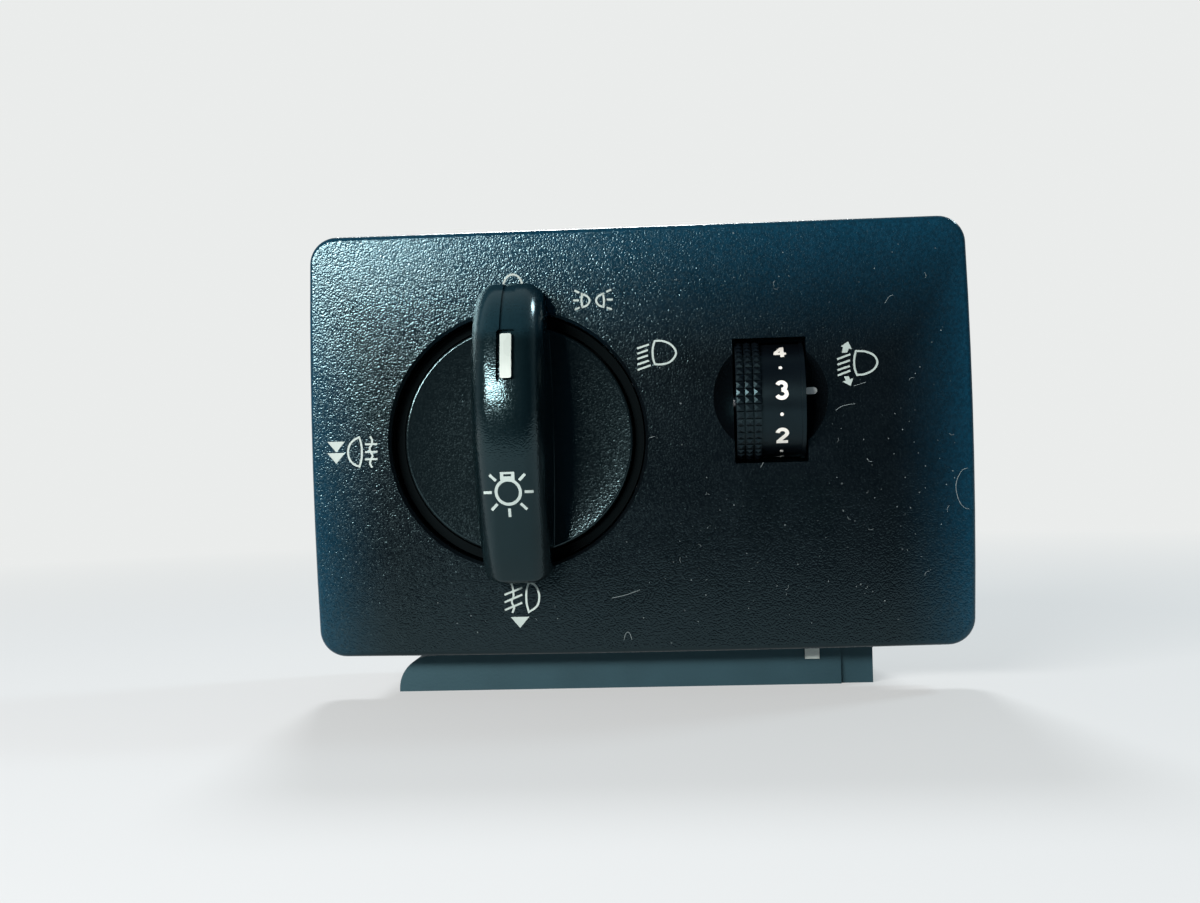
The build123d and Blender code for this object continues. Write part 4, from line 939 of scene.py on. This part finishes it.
class SWITCH_OT_stage(bpy.types.Operator):
    """Sets the floor, the backdrop, the lights and the camera"""
    bl_idname = "switch.stage"
    bl_label = "Stage"

    def execute(self, context):
        settings = context.scene.switch_stage
        self.lay_floor(settings)
        self.light(settings)
        self.aim_camera(context)
        return {"FINISHED"}

    def lay_floor(self, settings):
        """A sheet of white board; the camera and glossy rays see its own white, and its shadows."""
        mesh = bmesh.new()
        rows = [[mesh.verts.new((x, y, 0.0)) for x in (-FLOOR_SIDE, FLOOR_SIDE)]
                for y in (FACE - FLOOR_FRONT, 0.0, FLOOR_REAR)]
        for here, there in zip(rows, rows[1:]):
            mesh.faces.new((here[0], here[1], there[1], there[0]))
        data = bpy.data.meshes.new("floor")
        mesh.to_mesh(data)
        mesh.free()
        board = bpy.data.objects.new("floor", data)
        bpy.context.scene.collection.objects.link(board)
        desk = NodeDesk("floor_white")
        colour = settings.floor_colour
        mixed = desk.blend_colours(desk.noise(0.2), tone(colour, 0.99), tone(colour, 1.0))
        desk.fill(desk.shader, Base_Color=mixed, Roughness=0.7, Specular_IOR_Level=0.1)
        white = desk.fill(desk.add("ShaderNodeEmission"), Color=(*settings.wall_colour, 1))
        path = desk.add("ShaderNodeLightPath").outputs
        seen = desk.maths("MAXIMUM", path["Is Camera Ray"], path["Is Glossy Ray"])
        seen = desk.maths("MAXIMUM", seen, path["Is Transmission Ray"])
        away = desk.add("ShaderNodeVectorMath", operation="LENGTH")
        desk.join(desk.place, away.inputs[0])
        own = desk.ramp(away.outputs["Value"], *FLOOR_FADE, settings.glow, 1.0)
        blend = desk.add("ShaderNodeMixShader")
        sources = (desk.maths("MULTIPLY", seen, own), desk.shader.outputs["BSDF"], white.outputs["Emission"])
        for source, socket in zip(sources, blend.inputs):
            desk.join(source, socket)
        desk.fill(desk.output, Surface=blend.outputs["Shader"])
        data.materials.append(desk.material)

    def light(self, settings):
        """The room as the world, which the camera sees as plain backdrop, two lamps and a light overhead."""
        world = bpy.data.worlds.new("room")
        bpy.context.scene.world = world
        world.use_nodes = True
        desk = Desk(world.node_tree)
        way = desk.along(desk.add("ShaderNodeTexCoord").outputs["Generated"], "Y")
        room = tuple(channel * settings.room for channel in ROOM_TINT)
        dim = desk.blend_colours(desk.ramp(way, -ROOM_TURN, ROOM_TURN), FRONT_COLOUR, room)
        camera_ray = desk.add("ShaderNodeLightPath").outputs["Is Camera Ray"]
        seen = desk.blend_colours(camera_ray, dim, tuple(settings.wall_colour))
        desk.fill(desk.tree.nodes["Background"], Color=seen)
        self.lamp("key", spot(*KEY_AIM), Vector(KEY_PLACE), KEY_SIZE, settings.key_power, KEY_COLOUR)
        self.lamp("rim", spot(*RIM_AIM), Vector(RIM_PLACE), RIM_SIZE, settings.rim_power, RIM_COLOUR)
        sun = bpy.data.lights.new("overhead", "SUN")
        sun.energy = settings.sun
        sun.angle = SUN_WIDTH
        self.hang(sun, Vector((0, 0, 0)), Vector(SUN_WAY))

    def lamp(self, name, aim, away, size, power, colour):
        """A rectangular lamp that stands away from what it aims at."""
        data = bpy.data.lights.new(name, "AREA")
        data.shape = "RECTANGLE"
        data.size, data.size_y = size
        data.energy = power
        data.color = colour
        place = aim + away
        self.hang(data, place, aim - place)

    def hang(self, data, place, way):
        """Puts a light at a place, shining one way."""
        lamp = bpy.data.objects.new(data.name, data)
        bpy.context.scene.collection.objects.link(lamp)
        lamp.location = place
        lamp.rotation_mode = "QUATERNION"
        lamp.rotation_quaternion = way.to_track_quat("-Z", "Y")

    def aim_camera(self, context):
        """The camera at the photograph's viewing angle."""
        data = bpy.data.cameras.new("camera")
        data.lens = LENS
        data.sensor_width = SENSOR
        data.clip_start = NEAREST
        camera = bpy.data.objects.new("camera", data)
        context.scene.collection.objects.link(camera)
        yaw, pitch, roll = math.radians(YAW), math.radians(PITCH), math.radians(ROLL)
        back = Vector((math.sin(yaw) * math.cos(pitch), -math.cos(yaw) * math.cos(pitch), math.sin(pitch)))
        aim = spot(*CAMERA_AIM)
        turn = (-back).to_track_quat("-Z", "Y").to_matrix() @ Matrix.Rotation(roll, 3, "Z")
        camera.matrix_world = Matrix.Translation(aim + back * DISTANCE) @ turn.to_4x4()
        context.scene.camera = camera


class SWITCH_PT_panel(bpy.types.Panel):
    """Shows the switch's steps as buttons, and their settings"""
    bl_idname = "SWITCH_PT_panel"
    bl_label = "Headlight switch"
    bl_space_type = "VIEW_3D"
    bl_region_type = "UI"
    bl_category = "Switch"

    def draw(self, context):
        for operator in OPERATORS:
            self.layout.operator(operator.bl_idname)
        for label in SETTINGS:
            group = getattr(context.scene, label)
            box = self.layout.box()
            for prop in group.bl_rna.properties:
                if prop.identifier not in ("rna_type", "name"):
                    box.prop(group, prop.identifier)


SETTINGS = {"switch_finish": FinishSettings, "switch_print": PrintSettings, "switch_wheel": WheelSettings,
            "switch_dust": DustSettings, "switch_stage": StageSettings}
OPERATORS = [SWITCH_OT_finishes, SWITCH_OT_plate_signs, SWITCH_OT_bulb_sign, SWITCH_OT_wheel_numbers,
             SWITCH_OT_wheel_tread, SWITCH_OT_fibres, SWITCH_OT_dust, SWITCH_OT_stage]


def register():
    for group in (*SETTINGS.values(), *OPERATORS, SWITCH_PT_panel):
        bpy.utils.register_class(group)
    for label, group in SETTINGS.items():
        setattr(bpy.types.Scene, label, bpy.props.PointerProperty(type=group))


def unregister():
    for label in SETTINGS:
        delattr(bpy.types.Scene, label)
    for group in (SWITCH_PT_panel, *reversed(OPERATORS), *reversed(SETTINGS.values())):
        bpy.utils.unregister_class(group)


def main():
    register()
    for operator in OPERATORS:
        category, name = operator.bl_idname.split(".")
        getattr(getattr(bpy.ops, category), name)()
    bpy.context.scene.view_settings.view_transform = "Standard"


if __name__ == "__main__":
    main()
